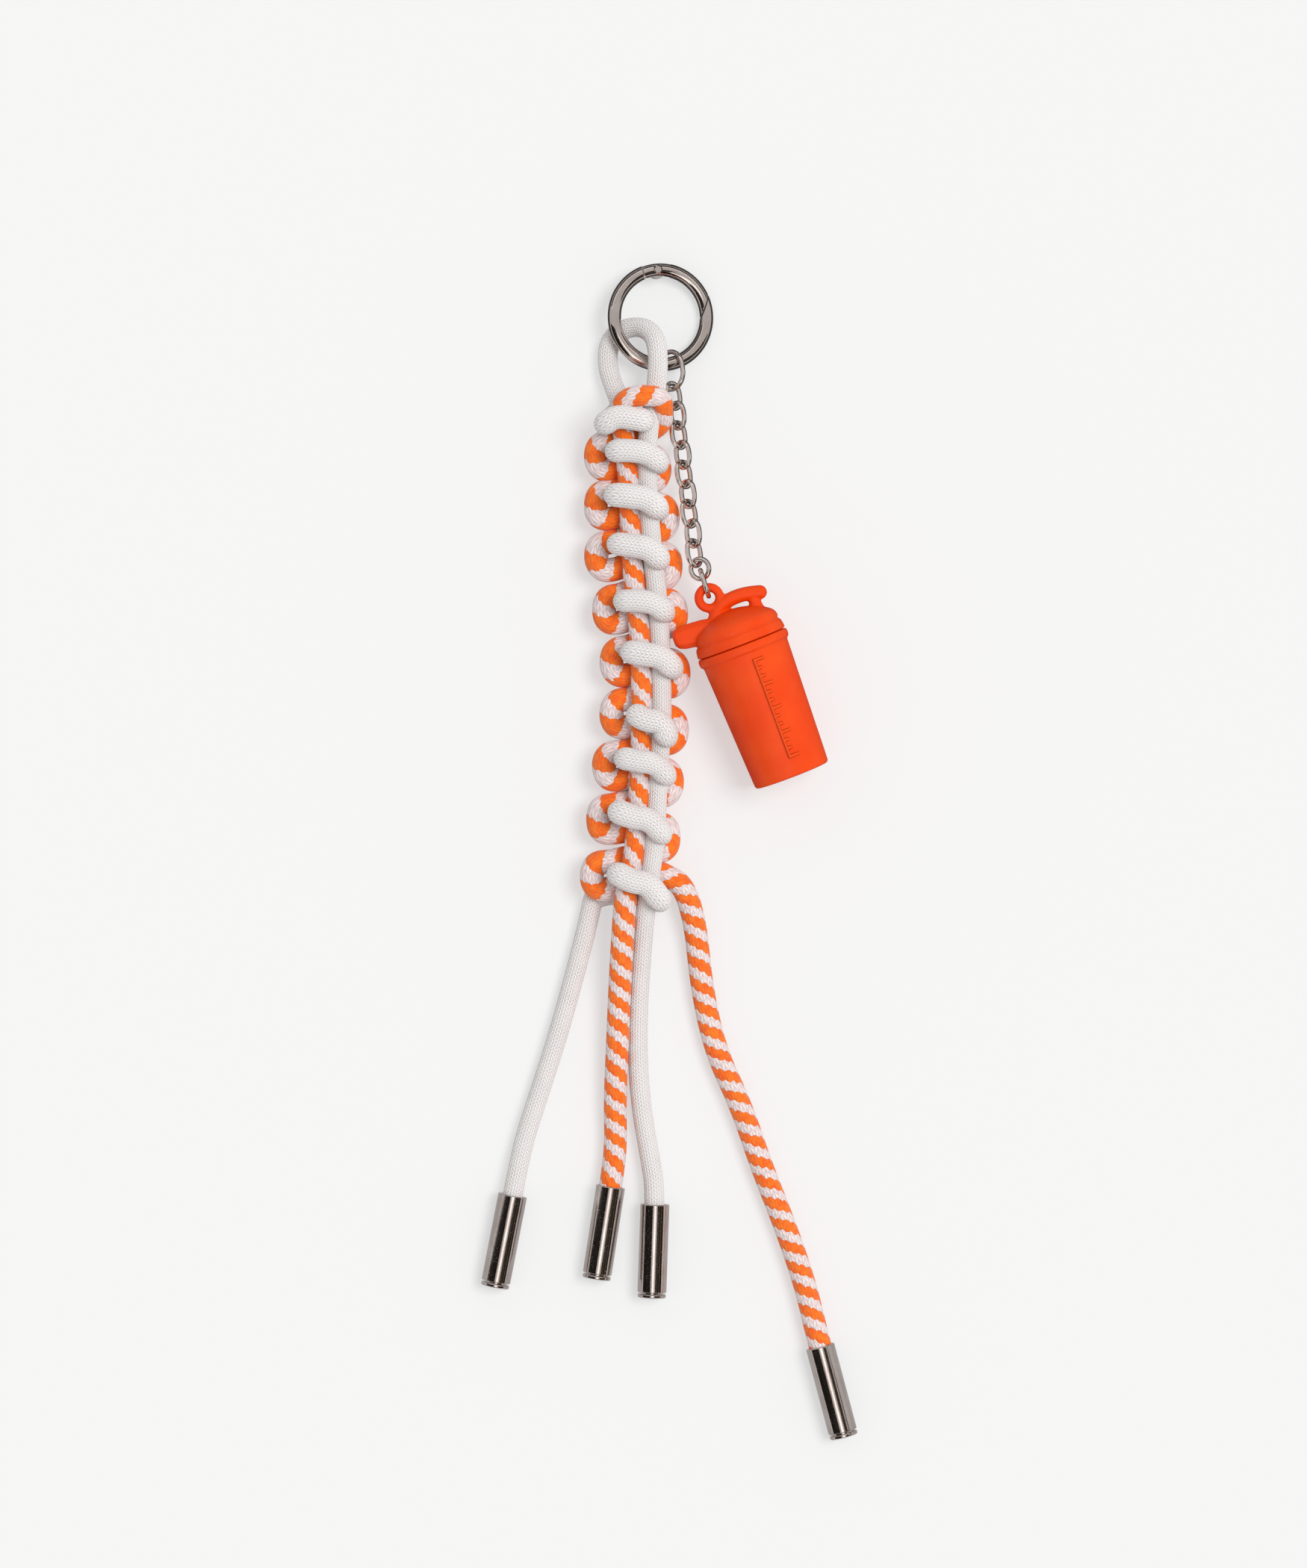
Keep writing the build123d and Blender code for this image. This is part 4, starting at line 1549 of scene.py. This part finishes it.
@dataclass
class Studio:
    """Pale floor, soft light and the camera straight above."""

    view_centre: tuple[float, float] = (-0.0115, -0.0447)
    view_height: float = 0.3612
    lens: float = 150.0
    sensor: float = 36.0
    look_level: float = 0.006
    floor_half: float = 3.0
    floor_drop: float = 0.02 * MM
    strips: tuple[float, float] = (-0.055, -0.75)
    arc_reach: float = 1.6
    arc_bends: int = 16
    sky_tint: Colour = (1.0, 0.985, 0.97)
    sky: float = 0.60
    backdrop: float = 0.93
    sun: float = 1.90
    sun_angle: float = 28.0
    sun_way: Point = (-0.46, -0.16, -1.0)
    reach: tuple[float, float] = (0.05, 20.0)

    def build(self) -> None:
        """Builds everything that isn't the charm."""
        self.floor()
        self.lights()
        self.reflections()
        self.camera()
        bpy.context.scene.view_settings.view_transform = "Standard"

    def floor(self) -> None:
        """A wide level board."""
        ways = np.array([(-1, -1), (1, -1), (1, 1), (-1, 1)]) * self.floor_half
        corners = np.column_stack([ways, np.full(4, -self.floor_drop)])
        board = new_mesh_object("floor_board", corners, [(0, 1, 2, 3)], smooth=False)
        dress(board, PaleFloor().material())

    def lights(self) -> None:
        """A pale sky and one wide sun from the upper right."""
        world = bpy.data.worlds.new("pale sky")
        bpy.context.scene.world = world
        world.use_nodes = True
        backdrop = world.node_tree.nodes["Background"]
        backdrop.inputs["Color"].default_value = (*self.sky_tint, 1.0)
        seen = world.node_tree.nodes.new("ShaderNodeLightPath").outputs["Is Camera Ray"]
        level = world.node_tree.nodes.new("ShaderNodeMapRange")
        level.inputs["To Min"].default_value = self.sky
        level.inputs["To Max"].default_value = self.backdrop
        world.node_tree.links.new(seen, level.inputs["Value"])
        world.node_tree.links.new(level.outputs["Result"], backdrop.inputs["Strength"])
        sun = bpy.data.lights.new("key", "SUN")
        sun.energy = self.sun
        sun.angle = math.radians(self.sun_angle)
        key = bpy.data.objects.new("key", sun)
        key.rotation_euler = Vector(self.sun_way).to_track_quat("-Z", "Y").to_euler()
        key.visible_glossy = False
        bpy.context.scene.collection.objects.link(key)

    def card(
        self,
        name: str,
        glow: Glow,
        corners: Sequence[Point],
        faces: Sequence[Face] = ((0, 1, 2, 3),),
    ) -> None:
        """A card that only shows in polished surfaces.

        Args:
            name: Its name.
            glow: Its light.
            corners: Its corners.
            faces: Its faces, one over four corners if none are given.
        """
        card = new_mesh_object(name, np.array(corners), list(faces), smooth=False)
        dress(card, glow.material(name))
        card.visible_camera = False
        card.visible_diffuse = False
        card.visible_shadow = False
        card.visible_transmission = False

    def strip(self, name: str, glow: Glow, low: float, high: float) -> None:
        """A long card over the tails, seen between two angles from the zenith.

        Args:
            name: Its name.
            glow: Its light.
            low: Its left edge's angle towards +X, in degrees.
            high: Its right edge's angle.
        """
        edges = [(math.sin(math.radians(a)), math.cos(math.radians(a))) for a in (low, high)]
        (x0, z0), (x1, z1) = edges
        near, far = self.strips
        self.card(name, glow, [(x0, far, z0), (x1, far, z1), (x1, near, z1), (x0, near, z0)])

    def sheet(self, name: str, glow: Glow, low: float, high: float) -> None:
        """A sheet on the floor between two places along Y, only seen in polished surfaces."""
        self.card(name, glow, [(-1.0, low, 0.0), (1.0, low, 0.0), (1.0, high, 0.0), (-1.0, high, 0.0)])

    def arc(
        self, name: str, glow: Glow, sweep: tuple[float, float], band: tuple[float, float]
    ) -> None:
        """A curved card round the charm, only seen in polished surfaces.

        Args:
            name: Its name.
            glow: Its light.
            sweep: Where it starts and ends round the horizon, in degrees from +X.
            band: Its upper and lower edges' angles from the zenith, in degrees.
        """
        rounds = np.radians(np.linspace(*sweep, self.arc_bends + 1))
        corners: list[Point] = []
        for angle in np.radians(band):
            out, rise = self.arc_reach * math.sin(angle), self.arc_reach * math.cos(angle)
            corners += [(out * math.cos(r), out * math.sin(r), rise) for r in rounds]
        over = self.arc_bends + 1
        faces = [(i, i + 1, i + 1 + over, i + over) for i in range(self.arc_bends)]
        self.card(name, glow, corners, faces)

    def reflections(self) -> None:
        """Dark and bright cards for the metal."""
        front, back = (185.0, 355.0), (20.0, 160.0)
        self.arc("near_bright_arc", Glow(1.7), front, (36.0, 43.0))
        self.arc("near_dark_arc", Glow(0.01, 0.7), front, (45.0, 76.0))
        self.arc("far_bright_arc", Glow(1.3), back, (48.0, 54.0))
        self.arc("far_dark_arc", Glow(0.03, 0.7), back, (60.0, 80.0))
        self.strip("dark_strip_left", Glow(0.015, 0.7), -78.0, -14.0)
        self.strip("bright_strip", Glow(1.7, 0.95), -3.0, 12.0)
        self.strip("brown_strip", Glow(0.05, 0.6), 22.0, 44.0)
        self.strip("brown_strip_low", Glow(0.10, 0.6), 52.0, 60.0)
        self.sheet("dark_sheet", Glow(0.07), -0.10, 1.0)
        self.sheet("pale_sheet", Glow(0.50), -1.0, -0.10)

    def camera(self) -> None:
        """A long lens straight above the middle of the view."""
        lens = bpy.data.cameras.new("camera")
        lens.lens = self.lens
        lens.sensor_width = self.sensor
        lens.clip_start, lens.clip_end = self.reach
        eye = bpy.data.objects.new("camera", lens)
        distance = self.view_height / 2 / (self.sensor / 2 / self.lens)
        eye.location = (*self.view_centre, distance + self.look_level)
        bpy.context.scene.collection.objects.link(eye)
        bpy.context.scene.camera = eye


KNOTTED_BAND = 6.3 * MM
# The chain's nickel is the ring's metal painted paler, standing in for the brighter highlights on its
# wires.
CHAIN_NICKEL_PAINTED_PALER = DarkNickel("chain nickel painted paler", (0.84, 0.76, 0.72), (0.74, 0.66, 0.62))


def main() -> None:
    """Builds the charm and its studio."""
    logging.basicConfig(level=logging.INFO, format="%(name)s: %(message)s")
    Studio().build()
    white = PlainBraid().material()
    tail_finish = {
        CordKind.WHITE: white,
        CordKind.STRIPED: StripedBraid().material("striped tail cord"),
    }
    metal = DarkNickel("polished dark nickel").material()
    Braid().build(white, StripedBraid(band=KNOTTED_BAND).material("striped knotted cord"))
    for plan in TAILS:
        Tail(plan).build(tail_finish[plan.kind], metal)
    GateRing().build(metal)
    CableChain().build(CHAIN_NICKEL_PAINTED_PALER.material())
    ShakerBottle().build(SoftMould("orange soft plastic").material())


if __name__ == "__main__":
    main()
